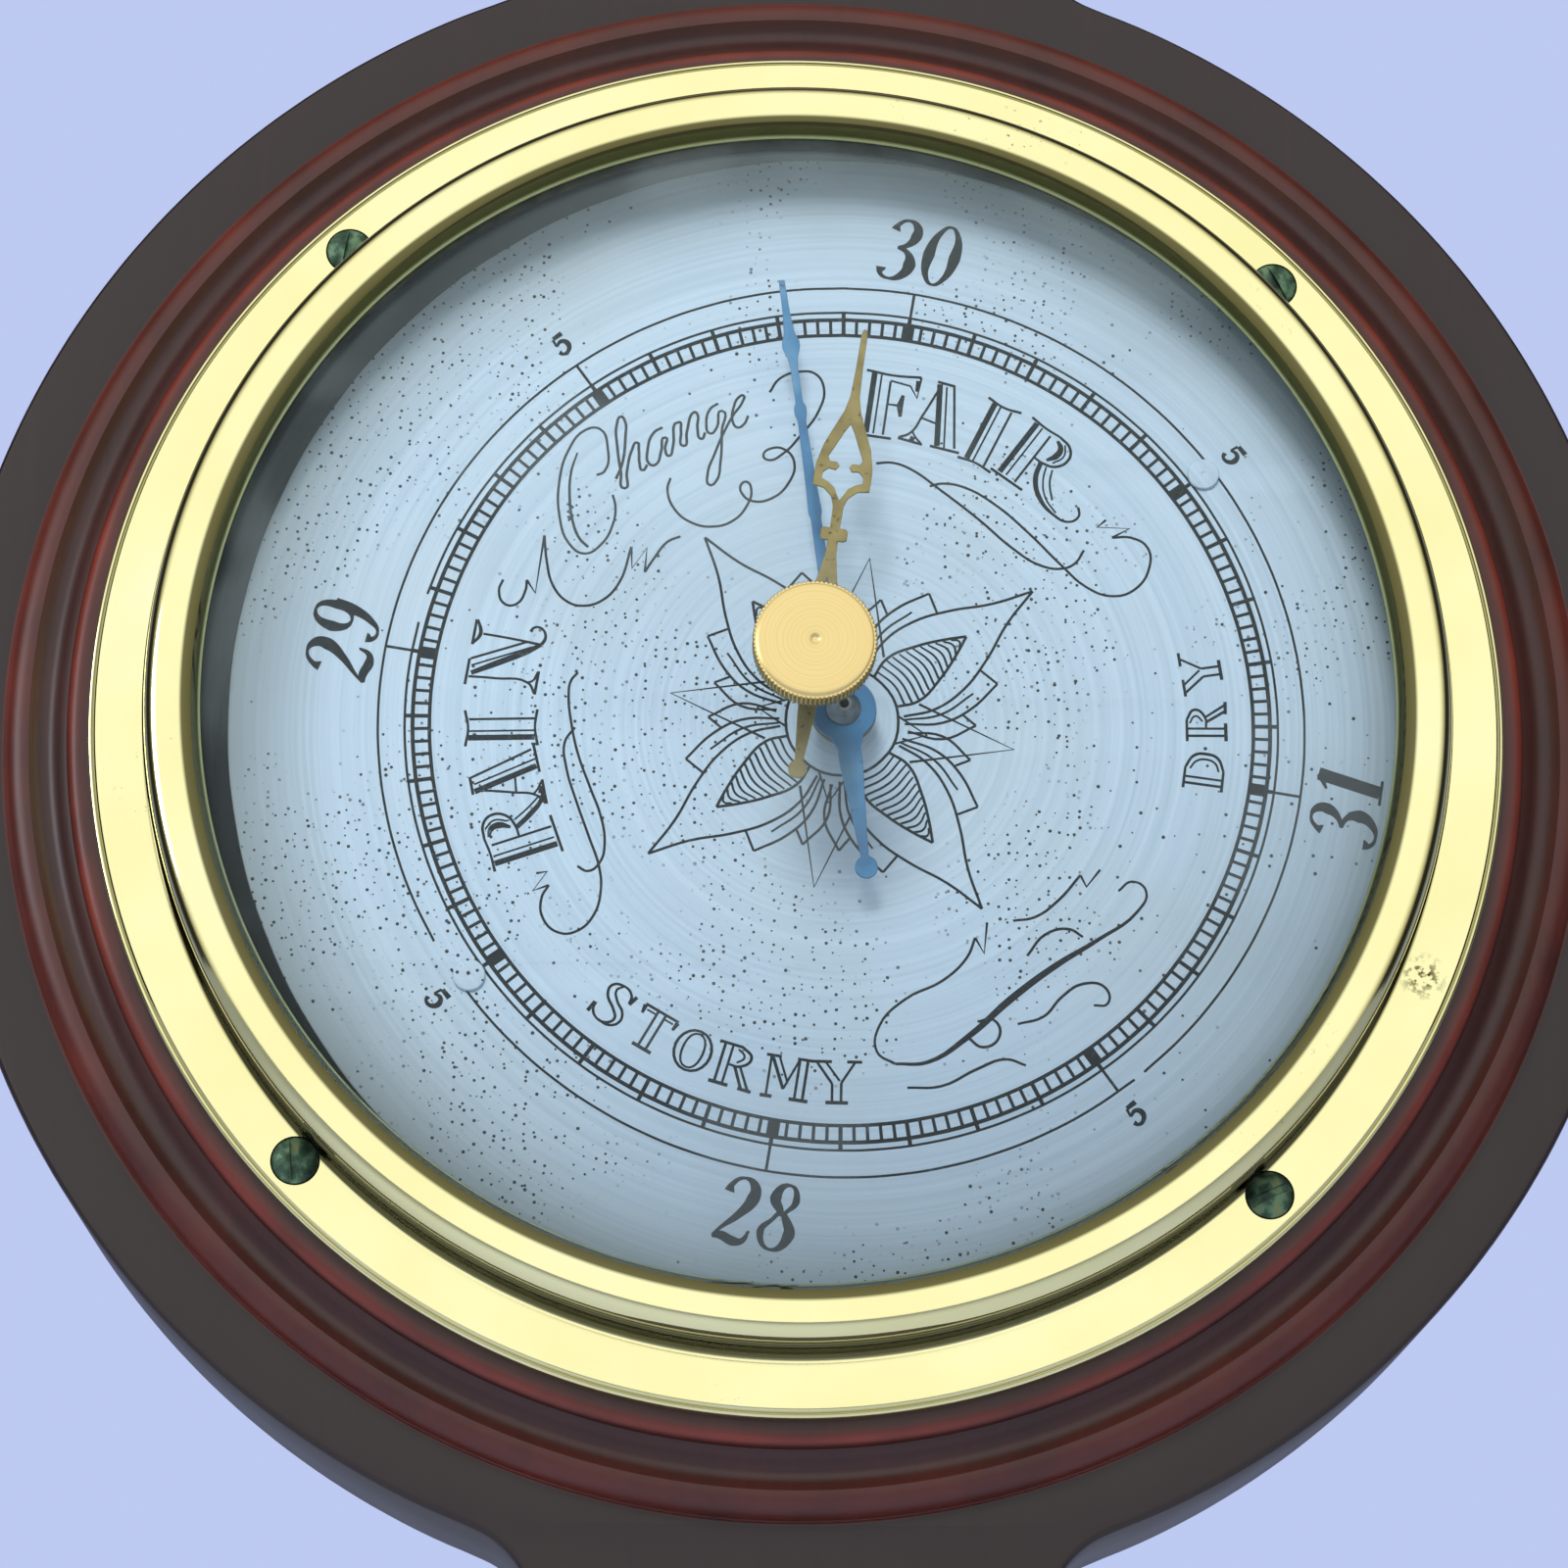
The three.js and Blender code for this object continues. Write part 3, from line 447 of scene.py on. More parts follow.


# Brass disc, scratch brushed in rings and silvered with chloride paste, then lacquered: cool pale
# blue white, with black pin specks where damp got through the lacquer, and painted shade darkening it towards its
# edge under the bezel.
def silveredBrass():
    material, tree, shader = newMaterial("silveredBrass", "#c6dae8", 0.5, 0.12)
    hub = middleOf("pointer_bush")
    hubX, hubZ = hub.x * mm, bezelAxisHeight + hub.y * mm
    vector, radius = lathed(tree, hubX, hubZ, 0.00042, 0.06)
    rings = addNode(tree, "ShaderNodeTexNoise", {"Scale": 1.0, "Detail": 3.0}, {"Vector": vector})
    tone = addNode(tree, "ShaderNodeValToRGB", feeds={0: rings.outputs[0]},
                   stops=[(0.25, "#acc5d8"), (0.5, "#b8d0e3"), (0.8, "#c4dbec")])
    cloud = addNode(tree, "ShaderNodeTexNoise", {"Scale": 38.0, "Detail": 4.0}, {"Vector": placed(tree)})
    warm = addNode(tree, "ShaderNodeMapRange", {1: 0.5, 2: 0.8, 4: 0.35}, {0: cloud.outputs[0]})
    colour = mixColours(tree, warm.outputs[0], tone.outputs[0], "#b3bfbd")
    # Painted shade: the dial darkens from 52 mm out to its edge, where the bezel shades it.
    edge = addNode(tree, "ShaderNodeMapRange", {1: 0.052, 2: 0.0625, 4: 0.7}, {0: radius})
    colour = mixColours(tree, edge.outputs[0], colour, "#8d9a9c")
    # pin specks in three sizes, gathered in loose clouds
    masks = []
    for scale, size, reach, place in ((460, 0.1, 0.5, 0.0), (190, 0.045, 0.55, 0.3), (980, 0.19, 0.5, 0.7)):
        flat = placed(tree, location=(place, place, place), rotation=(math.pi / 2, 0, 0))
        cells = addNode(tree, "ShaderNodeTexVoronoi", {"Scale": float(scale)}, {"Vector": flat},
                        voronoi_dimensions="2D")
        each = addNode(tree, "ShaderNodeSeparateColor", feeds={0: cells.outputs["Color"]})
        room = addNode(tree, "ShaderNodeMath", {1: size}, {0: each.outputs[0]}, operation="MULTIPLY")
        inside = addNode(tree, "ShaderNodeMath", feeds={0: room.outputs[0], 1: cells.outputs["Distance"]},
                         operation="SUBTRACT")
        dots = addNode(tree, "ShaderNodeMapRange", {1: 0.0, 2: 0.02}, {0: inside.outputs[0]})
        crowd = addNode(tree, "ShaderNodeTexNoise", {"Scale": 50.0, "Detail": 4.0},
                        {"Vector": placed(tree, location=(place, 0, place))})
        kept = addNode(tree, "ShaderNodeMapRange", {1: reach, 2: reach + 0.05}, {0: crowd.outputs[0]})
        masks.append(addNode(tree, "ShaderNodeMath", feeds={0: dots.outputs[0], 1: kept.outputs[0]},
                             operation="MULTIPLY").outputs[0])
    both = addNode(tree, "ShaderNodeMath", feeds={0: masks[0], 1: masks[1]}, operation="MAXIMUM").outputs[0]
    both = addNode(tree, "ShaderNodeMath", feeds={0: both, 1: masks[2]}, operation="MAXIMUM").outputs[0]
    colour = mixColours(tree, both, colour, "#232a2d")
    tree.links.new(colour, shader.inputs["Base Color"])
    rough = addNode(tree, "ShaderNodeMapRange", {3: 0.46, 4: 0.58}, {0: rings.outputs[0]})
    tree.links.new(rough.outputs[0], shader.inputs["Roughness"])
    bumped(tree, shader, rings.outputs[0], 0.00002, 0.12)
    return material


# Engraver's black wax, pressed into the cut lines and rubbed flat: a soft grey black, thin in places.
def waxBlack():
    material, tree, shader = newMaterial("waxBlack", "#1a1d20", 0.7, 0, Specular_IOR_Level=0.2)
    worn = addNode(tree, "ShaderNodeTexNoise", {"Scale": 1600.0, "Detail": 3.0}, {"Vector": placed(tree)})
    tone = addNode(tree, "ShaderNodeValToRGB", feeds={0: worn.outputs[0]},
                   stops=[(0.38, "#0a0b0d"), (0.62, "#15181a"), (0.76, "#454e55")])
    tree.links.new(tone.outputs[0], shader.inputs["Base Color"])
    bumped(tree, shader, worn.outputs[0], 0.00001, 0.4)
    return material


# Spring steel, blued in hot sand: clear sky blue, a little darker and purple where it was hottest.
def steelBlued():
    material, tree, shader = newMaterial("steelBlued", "#4e86b2", 0.34, 0.65)
    cloud = addNode(tree, "ShaderNodeTexNoise", {"Scale": 160.0, "Detail": 4.0}, {"Vector": placed(tree)})
    tone = addNode(tree, "ShaderNodeValToRGB", feeds={0: cloud.outputs[0]},
                   stops=[(0.3, "#3a6a96"), (0.55, "#4e88b6"), (0.75, "#6da2c8")])
    rust = addNode(tree, "ShaderNodeTexNoise", {"Scale": 1200.0, "Detail": 2.0}, {"Vector": placed(tree)})
    spots = addNode(tree, "ShaderNodeMapRange", {1: 0.68, 2: 0.74, 4: 0.7}, {0: rust.outputs[0]})
    colour = mixColours(tree, spots.outputs[0], tone.outputs[0], "#5d4a44")
    tree.links.new(colour, shader.inputs["Base Color"])
    bumped(tree, shader, cloud.outputs[0], 0.00002, 0.4)
    return material


# Steel rod, turned and stoned: grey with small soft spots of rust bloom.
def steelTurned():
    material, tree, shader = newMaterial("steelTurned", "#9a9c9e", 0.3, 1)
    cloud = addNode(tree, "ShaderNodeTexNoise", {"Scale": 700.0, "Detail": 5.0}, {"Vector": placed(tree)})
    tone = addNode(tree, "ShaderNodeValToRGB", feeds={0: cloud.outputs[0]},
                   stops=[(0.3, "#6e6c68"), (0.6, "#a4a6a8")])
    tree.links.new(tone.outputs[0], shader.inputs["Base Color"])
    rough = addNode(tree, "ShaderNodeMapRange", {3: 0.2, 4: 0.5}, {0: cloud.outputs[0]})
    tree.links.new(rough.outputs[0], shader.inputs["Roughness"])
    bumped(tree, shader, cloud.outputs[0], 0.00001, 0.3)
    return material


# Brass wood screws, cut from rod and left to weather: dark green verdigris over brown brass.
def brassWeathered():
    material, tree, shader = newMaterial("brassWeathered", "#475a47", 0.5, 0.6)
    cloud = addNode(tree, "ShaderNodeTexNoise", {"Scale": 620.0, "Detail": 5.0}, {"Vector": placed(tree)})
    tone = addNode(tree, "ShaderNodeValToRGB", feeds={0: cloud.outputs[0]},
                   stops=[(0.3, "#1f2a20"), (0.48, "#3f5a48"), (0.6, "#6a8a6c"), (0.74, "#8d8a58")])
    tree.links.new(tone.outputs[0], shader.inputs["Base Color"])
    rough = addNode(tree, "ShaderNodeMapRange", {3: 0.3, 4: 0.75}, {0: cloud.outputs[0]})
    tree.links.new(rough.outputs[0], shader.inputs["Roughness"])
    bumped(tree, shader, cloud.outputs[0], 0.00008, 0.6)
    return material


# Soda glass, slumped to a dome: nearly clear, glossy, and greener and stronger towards its rim, where its pale veil
# rising with the grazing angle is a painted reflection.
def glassDomed():
    material, tree, shader = newMaterial("glassDomed", "#a9b9bd", 0.03, 0, IOR=1.5,
                                         Specular_IOR_Level=0.3)
    # Painted reflection: the opacity of the pale blue-grey veil rises at grazing angles to give reflection rims.
    facing = addNode(tree, "ShaderNodeLayerWeight", {"Blend": 0.3})
    veilAndRimReflection = addNode(tree, "ShaderNodeMapRange", {1: 0.0, 2: 1.0, 3: 0.02, 4: 0.7},
                   {0: facing.outputs["Fresnel"]})
    haze = addNode(tree, "ShaderNodeTexNoise", {"Scale": 34.0, "Detail": 2.0},
                   {"Vector": placed(tree, location=(0.4, 0, 0.2))})
    patch = addNode(tree, "ShaderNodeMapRange", {1: 0.55, 2: 0.6, 4: 0.05}, {0: haze.outputs[0]})
    alpha = addNode(tree, "ShaderNodeMath", feeds={0: veilAndRimReflection.outputs[0], 1: patch.outputs[0]},
                    operation="ADD")
    tree.links.new(alpha.outputs[0], shader.inputs["Alpha"])
    return material


# Distempered plaster for the floor: plain and pale.
def plasterPale():
    material, tree, shader = newMaterial("plasterPale", "#cfd6ea", 0.8, 0)
    return material


materials = {
    "mahogany": mahoganyStained(),
    "brass": brassPolished(),
    "knob": brassFaced(),
    "dull_brass": brassFretted("brassSheetDull", "#a8925a", "#7d6c3e"),
    "fretted": brassFretted(),
    "pressed": brassPressed(),
    "silvered": silveredBrass(),
    "ink": waxBlack(),
    "blued_steel": steelBlued(),
    "steel": steelTurned(),
    "patina_brass": brassWeathered(),
    "glass": glassDomed(),
}
print("materials made")


# ---- camera ----

cameraBox = {"place": (-10.876, -140.159, 500.77), "forward": (0.0196, 0.9619, 0.2727),
             "up": (-0.0128, -0.2725, 0.9621), "lens": 110.9, "sensor": 36}


def makeCamera():
    data = bpy.data.cameras.new("camera")
    data.lens = cameraBox["lens"]
    data.sensor_width = cameraBox["sensor"]
    data.clip_start = 0.01
    camera = bpy.data.objects.new("camera", data)
    bpy.context.scene.collection.objects.link(camera)
    x, y, z = cameraBox["place"]
    forward = Vector(cameraBox["forward"]).normalized()
    up = Vector(cameraBox["up"])
    up = (up - up.dot(forward) * forward).normalized()
    side = forward.cross(up)
    turnMatrix = Matrix((side, up, -forward)).transposed()
    place = Matrix.Translation((x * mm, -z * mm, y * mm + bezelAxisHeight))
    camera.matrix_world = place @ turnMatrix.to_4x4()
    bpy.context.scene.camera = camera


makeCamera()


# ---- plaque ----

plaqueShape = {"face": 26, "lip": 31.1, "bodyRadius": 87.4, "neckHalf": 25, "fillet": 10,
               "topEnd": 138, "bottomEnd": 124, "edge": 0.9, "bore": 62.9}


# Half the outline of one neck as bezier knots: fillet out of the round body, straight side, soft end.
def neckKnots(end, direction):
    s = plaqueShape
    filletX = s["neckHalf"] + s["fillet"]
    filletY = math.sqrt((s["bodyRadius"] + s["fillet"]) ** 2 - filletX ** 2)
    meetX = filletX * s["bodyRadius"] / (s["bodyRadius"] + s["fillet"])
    meetY = filletY * s["bodyRadius"] / (s["bodyRadius"] + s["fillet"])
    shoulder = end - s["neckHalf"] * 0.72
    knots = []
    low = math.atan2(meetY - filletY, meetX - filletX)
    for k in range(9):
        angle = low + (-math.pi - low) * k / 8
        knots.append((filletX + s["fillet"] * math.cos(angle), filletY + s["fillet"] * math.sin(angle)))
    for k in range(1, 17):
        t = k / 16
        a = (s["neckHalf"], shoulder)
        b = (s["neckHalf"], end - 6)
        c = (s["neckHalf"] * 0.45, end)
        d = (0, end)
        knots.append(tuple((1 - t) ** 3 * a[i] + 3 * t * (1 - t) ** 2 * b[i] + 3 * t * t * (1 - t) * c[i]
                           + t ** 3 * d[i] for i in (0, 1)))
    half = knots
    other = [(-x, y) for x, y in reversed(half[:-1])]
    full = half + other
    return [(x * direction, y * direction) for x, y in full]


def makePlaque():
    s = plaqueShape
    top = neckKnots(s["topEnd"], 1)
    bottom = neckKnots(s["bottomEnd"], -1)
    outline = list(top)
    for start, finish in ((top[-1], bottom[0]), (bottom[-1], top[0])):
        a0 = math.atan2(start[1], start[0])
        a1 = math.atan2(finish[1], finish[0])
        if a1 < a0:
            a1 += 2 * math.pi
        arc = [a0 + (a1 - a0) * k / 40 for k in range(1, 40)]
        outline += [(s["bodyRadius"] * math.cos(a), s["bodyRadius"] * math.sin(a)) for a in arc]
        if start is top[-1]:
            outline += bottom
    board = plateFrom("plaqueBoard", [(True, False, outline), circleStroke(66, count=24)],
                      0, s["face"], s["edge"], smooth=3)
    moulding = [(s["bore"], 3), (68, 3), (68, s["face"] - 3), (mouldRadius(0), s["face"] - 3)]
    moulding += mouldProfile(s["face"])
    moulding += [(64.9, s["lip"]), (64.9, 29.9), (s["bore"], 29.9)]
    ring = turn("plaqueMoulding", moulding, steps=240)
    boolean(board, ring, "UNION")
    board.name = "mahoganyPlaque"
    low, high = benchBox("hanging_plate")
    bpy.ops.object.select_all(action="DESELECT")
    bpy.ops.mesh.primitive_cube_add(size=1, location=(0, (low[1] + high[1]) / 2, 0.5))
    recess = bpy.context.object
    recess.scale = (high[0] - low[0] + 0.6, high[1] - low[1] + 0.6, 3.2)
    bpy.ops.object.transform_apply(location=True, rotation=True, scale=True)
    boolean(board, recess)
    boolean(board, plug(7, 0, (low[1] + high[1]) / 2, -1, 7))
    for node in ("bezel_screw_1", "bezel_screw_2", "bezel_screw_3", "bezel_screw_4"):
        at = middleOf(node)
        boolean(board, plug(1.9, at.x, at.y, 17, 40, 24))
    return finishPiece(board, materials["mahogany"], "case", ["wood_plaque"], angle=28)


def mouldRadius(step):
    return 80.9 - step


# The turned moulding from its outer foot up to the lip: a step, an ovolo, a hollow and a rounded lip.
def mouldProfile(face):
    points = [(80.9, face - 0.2), (80.85, face + 0.5)]
    for k in range(9):                                   # ovolo
        angle = math.radians(90 * k / 8)
        points.append((78.0 + 2.7 * math.cos(angle), face + 0.7 + 2.35 * math.sin(angle)))
    for k in range(1, 9):                                # hollow
        t = k / 8
        points.append((78.0 - 3.3 * t, face + 3.05 - 0.95 * math.sin(math.pi * t) + 0.2 * t))
    for k in range(7):                                   # rounded lip
        angle = math.radians(90 * k / 6)
        points.append((72.6 + 1.5 * math.cos(angle), face + 3.6 + 1.5 * math.sin(angle)))
    return points


makePlaque()
print("plaque made")


# ---- bezel, its screws and the glass ----

bezelShape = {"outer": 71.6, "top": 33.5, "wall": 65.4, "crestTop": 41.9, "crest": 63.2, "lip": 59.6,
              "lipTop": 40.9, "sheet": 1, "under": 31.2}


def arcPoints(cx, cy, radius, start, end, count):
    angles = [math.radians(start + (end - start) * k / (count - 1)) for k in range(count)]
    return [(cx + radius * math.cos(a), cy + radius * math.sin(a)) for a in angles]


def makeBezel():
    s = bezelShape
    points = [(s["outer"] - s["sheet"], s["under"]), (s["outer"] - 0.15, s["under"])]
    points += [(s["outer"], s["under"] + 0.15)]
    points += arcPoints(s["outer"] - 0.42, s["top"] - 0.6, 0.42, 0, 90, 6)     # turned-down outer edge
    points += [(71.1, s["top"] - 0.24), (70.95, s["top"] - 0.22), (70.75, s["top"] - 0.04)]   # step line
    points += [(70.6, s["top"]), (s["wall"] + 0.9, s["top"])]
    points += arcPoints(s["wall"] + 0.7, s["top"] + 0.7, 0.7, 270, 180, 6)     # fillet into the wall
    points += [(s["wall"], s["crestTop"] - 3.6)]
    points += [(s["wall"] + 0.1, s["crestTop"] - 3.3), (s["wall"] + 0.1, s["crestTop"] - 3.0),
               (s["wall"] - 0.15, s["crestTop"] - 2.75)]                      # a bead under the crest
    points += arcPoints(s["wall"] - 2.15, s["crestTop"] - 2.0, 2.0, 0, 90, 10)  # rolled crest
    points += arcPoints(61.4, s["crestTop"] - 2.0, 2.0, 85, 120, 4)
    points += [(s["lip"] + 0.25, s["lipTop"] - 0.55), (s["lip"], s["lipTop"] - 0.9),
               (s["lip"] + 0.1, s["lipTop"] - 1.2)]
    points += [(61.4, s["lipTop"] - 1.15), (63.2, s["crestTop"] - 1.6), (64.3, s["crestTop"] - 2.6)]
    points += [(s["wall"] - s["sheet"], s["crestTop"] - 4.2), (s["wall"] - s["sheet"], s["top"] - 1)]
    points += [(s["outer"] - s["sheet"], s["top"] - 1)]
    ring = turn("bezel", points, steps=256)
    for number in range(1, 5):
        at = middleOf("bezel_screw_%d" % number)
        boolean(ring, plug(2.45, at.x, at.y, 28, 45, 40))
    return finishPiece(ring, materials["brass"], "case", ["bezel_ring"], angle=24)


makeBezel()

screwShape = {"head": 2.3, "crown": 0.75, "slotWidth": 0.85, "slotDepth": 0.7,
              "turns": (118, 25, 95, 80)}


# One round-head slotted screw: a turned head with a rounded crown, a shank, and a slot cut across.
def makeScrew(name, head, crown, shank, depth):
    s = screwShape
    sphere = (head * head + crown * crown) / (2 * crown)
    profile = [(0, -depth), (shank * 0.4, -depth), (shank, -depth + 2), (shank, -0.9), (head * 0.92, -0.3),
               (head, 0)]
    for k in range(1, 9):
        radius = head * (1 - k / 8)
        profile.append((radius, crown - sphere + math.sqrt(sphere ** 2 - radius ** 2)))
    screw = turn(name, profile, steps=40, closed=False)
    bpy.ops.object.select_all(action="DESELECT")
    bpy.ops.mesh.primitive_cube_add(size=1, location=(0, 0, crown))
    slot = bpy.context.object
    slot.scale = (head * 2.4, s["slotWidth"], s["slotDepth"] * 2)
    bpy.ops.object.transform_apply(location=True, rotation=True, scale=True)
    boolean(screw, slot)
    modify(screw, "BEVEL", width=0.05, segments=2, limit_method="ANGLE", angle_limit=math.radians(40))
    return screw


def makeBezelScrews():
    master = makeScrew("screwMaster", screwShape["head"], screwShape["crown"], 1.4, 14)
    for number, turned in zip(range(1, 5), screwShape["turns"]):
        at = middleOf("bezel_screw_%d" % number)
        piece = copyOf(master, "bezelScrew%d" % number)
        place = Matrix.Translation((at.x, at.y, bezelShape["top"] + 0.02))
        piece.data.transform(place @ Matrix.Rotation(math.radians(turned), 4, "Z"))
        finishPiece(piece, materials["patina_brass"], "case",
                    ["bezel_screw_%d" % number], angle=35)
    bpy.data.objects.remove(master)


makeBezelScrews()

glassShape = {"sphere": 175, "thick": 1.6, "edge": 63.6, "rimTop": 39.7}


def makeGlass():
    s = glassShape
    outside = s["sphere"]
    inside = s["sphere"] - s["thick"]
    apex = benchBox("glass_dome")[1][2]
    steps = 28
    outer = []
    inner = []
    for k in range(steps + 1):
        radius = s["edge"] * k / steps
        outer.append((radius, apex - outside + math.sqrt(outside ** 2 - radius ** 2)))
        inner.append((radius, apex - outside + math.sqrt(inside ** 2 - radius ** 2)))
    dome = turn("glassDome", inner + outer[::-1], steps=160, closed=False)
    shaft = middleOf("set_knob")
    boolean(dome, plug(1.9, shaft.x, shaft.y, 40, 60, 40))
    return finishPiece(dome, materials["glass"], "case", ["glass_dome"], angle=40)


makeGlass()


def makeDrum():
    low, high = benchBox("case_drum")
    back, rim = low[2], high[2]
    points = [(0, back)] + arcPoints(61.1, back + 1.5, 1.5, 270, 360, 7)
    points += [(62.6, rim - 0.9), (64.6, rim - 0.9), (64.6, rim), (61.8, rim), (61.8, back + 2.0)]
    points += arcPoints(60.8, back + 2.0, 1.0, 0, -90, 5) + [(0, back + 1.0)]
    drum = turn("caseDrum", points, steps=200, closed=False)
    hole = middleOf("adjusting_screw")
    boolean(drum, plug(3, hole.x, hole.y, 0, 5, 40))
    for ring in (24.0, 46.0):                            # two pressed rings stiffen the back
        groove = turn("groove", [(ring - 0.6, back - 0.2), (ring + 0.6, back - 0.2), (ring, back + 0.35)],
                      steps=160)
        boolean(drum, groove)
    for number in range(1, 4):
        at = middleOf("movement_screw_%d" % number)
        boolean(drum, plug(1.75, at.x, at.y, 0, 5, 24))
    return finishPiece(drum, materials["pressed"], "case", ["case_drum"], angle=30)


makeDrum()
print("bezel, glass and drum made")


# ---- dial ----

hub = middleOf("pointer_bush")
dialTop = benchBox("dial_plate")[1][2]
dialShape = {"radius": 60.9, "tilt": 9, "outerCircle": 46.9, "midCircle": 44.2, "ladderTop": 43.4,
             "ladderFoot": 41.7, "line": 0.28}


# A place on the dial in its own millimetres: degrees clockwise from the top, and a radius.
def clock(degrees, radius):
    angle = math.radians(degrees)
    return (radius * math.sin(angle), radius * math.cos(angle))


def makeDial():
    centre = middleOf("dial_plate")
    strokes = [circleStroke(dialShape["radius"], centre.x, centre.y, 32), circleStroke(2.4, hub.x, hub.y, 8)]
    for node in ("dial_rivet_upper", "dial_rivet_lower"):
        at = middleOf(node)
        strokes.append(circleStroke(1.3, at.x, at.y, 8))
    plate = plateFrom("dialPlate", strokes, dialTop - 1, dialTop, 0.15, smooth=10)
    return finishPiece(plate, materials["silvered"], "case", ["dial_plate"], angle=30)


makeDial()


# ---- dial artwork: strokes with a width at each point, laid just proud of the dial ----

artwork = []


def addStrokes(strokes):
    artwork.extend(strokes)


def line(*points, width=0.28):
    return (False, True, [p if len(p) > 2 else (*p, width) for p in points])


def sweep(*points, width=0.28):
    return (False, False, [p if len(p) > 2 else (*p, width) for p in points])


def loop(*points, width=0.28):
    return (True, False, [p if len(p) > 2 else (*p, width) for p in points])


# Sets letter strokes on the dial: v runs outward from the foot radius, or inward when reversed.
def onArc(strokes, degrees, foot, inward=False, shift=0.0, size=1.0):
    angle = math.radians(degrees)
    outward = Vector((math.sin(angle), math.cos(angle)))
    right = Vector((math.cos(angle), -math.sin(angle)))
    sign = -1 if inward else 1
    for closed, straight, points in strokes:
        moved = []
        for u, v, width in points:
            place = outward * (foot + sign * v * size) + right * sign * (u * size + shift)
            moved.append((place.x, place.y, width * size))
        artwork.append((closed, straight, moved))


def drawScale():
    d = dialShape
    for radius, width, gaps in ((d["outerCircle"], 0.26, ((236, 240), (140, 141.5))),
                                (d["midCircle"], 0.26, ((283, 287),)), (d["ladderTop"], 0.42, ()),
                                (d["ladderFoot"], 0.38, ())):
        cuts = sorted(gaps) + [(360, 360)]
        start = 0.0
        for gapStart, gapEnd in cuts:
            count = max(2, int((gapStart - start) / 6))
            turns = [start + (gapStart - start) * k / count for k in range(count + 1)]
            addStrokes([sweep(*[clock(t, radius) for t in turns], width=width)])
            start = gapEnd
    for cell in range(200):
        degrees = d["tilt"] + cell * 1.8
        if cell % 5:
            addStrokes([line(clock(degrees, d["ladderFoot"]), clock(degrees, d["ladderTop"]), width=0.34)])
        else:
            addStrokes([line(clock(degrees, d["ladderFoot"]), clock(degrees, d["midCircle"]), width=0.42)])
        if cell % 25 == 0:
            addStrokes([line(clock(degrees, d["midCircle"]), clock(degrees, d["outerCircle"]), width=0.3)])
            addStrokes([line(clock(degrees, d["ladderFoot"]), clock(degrees, d["ladderTop"]), width=1.25)])


drawScale()

# Bold sloping numerals with ball ends and hairlines, 6.9 mm tall.
slope = 0.16
numerals = {
    "0": [loop((1.35, 3.4, 1.25), (0.75, 6.2, 0.5), (0, 6.75, 0.3), (-0.75, 6.2, 0.5), (-1.35, 3.4, 1.25),
               (-0.75, 0.6, 0.5), (0, 0.1, 0.3), (0.75, 0.6, 0.5))],
    "1": [line((0.1, 6.6, 1.35), (0.1, 0.2, 1.35)), line((0.1, 6.5, 0.7), (-1.2, 5.6, 0.25)),
          line((-1.2, 0.1, 0.3), (1.4, 0.1, 0.3))],
    "2": [sweep((-1.35, 5.2, 1.05), (-1.3, 5.9, 0.55), (-0.2, 6.75, 0.3), (1.0, 6.0, 1.0), (1.15, 4.8, 1.3),
                (0.3, 3.1, 0.8), (-1.1, 1.4, 0.35), (-1.6, 0.6, 0.3)),
          sweep((-1.6, 0.55, 0.35), (-0.8, 0.75, 0.9), (0.5, 0.35, 1.0), (1.4, 0.5, 0.6), (1.75, 1.6, 0.25))],
    "3": [sweep((-1.2, 5.5, 1.05), (-1.1, 6.1, 0.5), (-0.1, 6.75, 0.3), (0.95, 6.1, 0.9), (1.1, 5.1, 1.15),
                (0.5, 4.0, 0.6), (-0.4, 3.6, 0.3)),
          sweep((-0.4, 3.6, 0.3), (0.7, 3.2, 0.6), (1.35, 1.9, 1.35), (0.9, 0.6, 0.85), (-0.3, 0.05, 0.3),
                (-1.3, 0.5, 0.5), (-1.4, 1.2, 1.1))],
    "8": [loop((1.0, 5.3, 0.75), (0, 6.75, 0.3), (-1.05, 5.3, 1.15), (-0.3, 4.2, 0.8), (0, 3.8, 0.5),
               (0.5, 4.2, 0.4)),
          loop((1.35, 1.8, 1.2), (0, 0.1, 0.3), (-1.45, 1.7, 0.75), (-0.7, 3.1, 0.4), (-0.1, 3.8, 0.5),
               (0.8, 3.0, 0.9))],
    "9": [loop((1.15, 4.7, 0.95), (0, 6.75, 0.3), (-1.2, 4.8, 1.15), (0, 2.9, 0.3)),
          sweep((1.3, 4.9, 1.1), (1.2, 3.0, 1.1), (0.6, 1.0, 0.7), (-0.3, 0.1, 0.3), (-1.2, 0.5, 0.5),
                (-1.25, 1.15, 1.1))],
}
smallFive = [line((-0.35, 2.05, 0.45), (0.75, 2.1, 0.55)), line((-0.4, 2.0, 0.3), (-0.5, 1.15, 0.25)),
             sweep((-0.5, 1.15, 0.25), (0.2, 1.4, 0.45), (0.65, 0.85, 0.6), (0.3, 0.15, 0.45),
                   (-0.4, 0.1, 0.35), (-0.6, 0.5, 0.5))]


def sloped(strokes):
    return [(closed, straight, [(u + slope * (v - 3.4), v, w) for u, v, w in points])
            for closed, straight, points in strokes]


def drawNumerals():
    tilt = dialShape["tilt"]
    for text, degrees, foot, inward in (("30", tilt, 48.2, False), ("29", tilt - 90, 47.9, False),
                                        ("28", tilt + 180, 54.7, True), ("31", tilt + 90, 55.0, True)):
        for shift, figure in zip((-2.15, 2.15), text):
            onArc(sloped(numerals[figure]), degrees, foot, inward, shift)
    for degrees, foot, inward in ((tilt - 45, 48.6, False), (tilt + 45, 48.6, False),
                                  (tilt - 135, 50.8, True), (tilt + 135, 50.8, True)):
        onArc(smallFive, degrees, foot, inward)


drawNumerals()

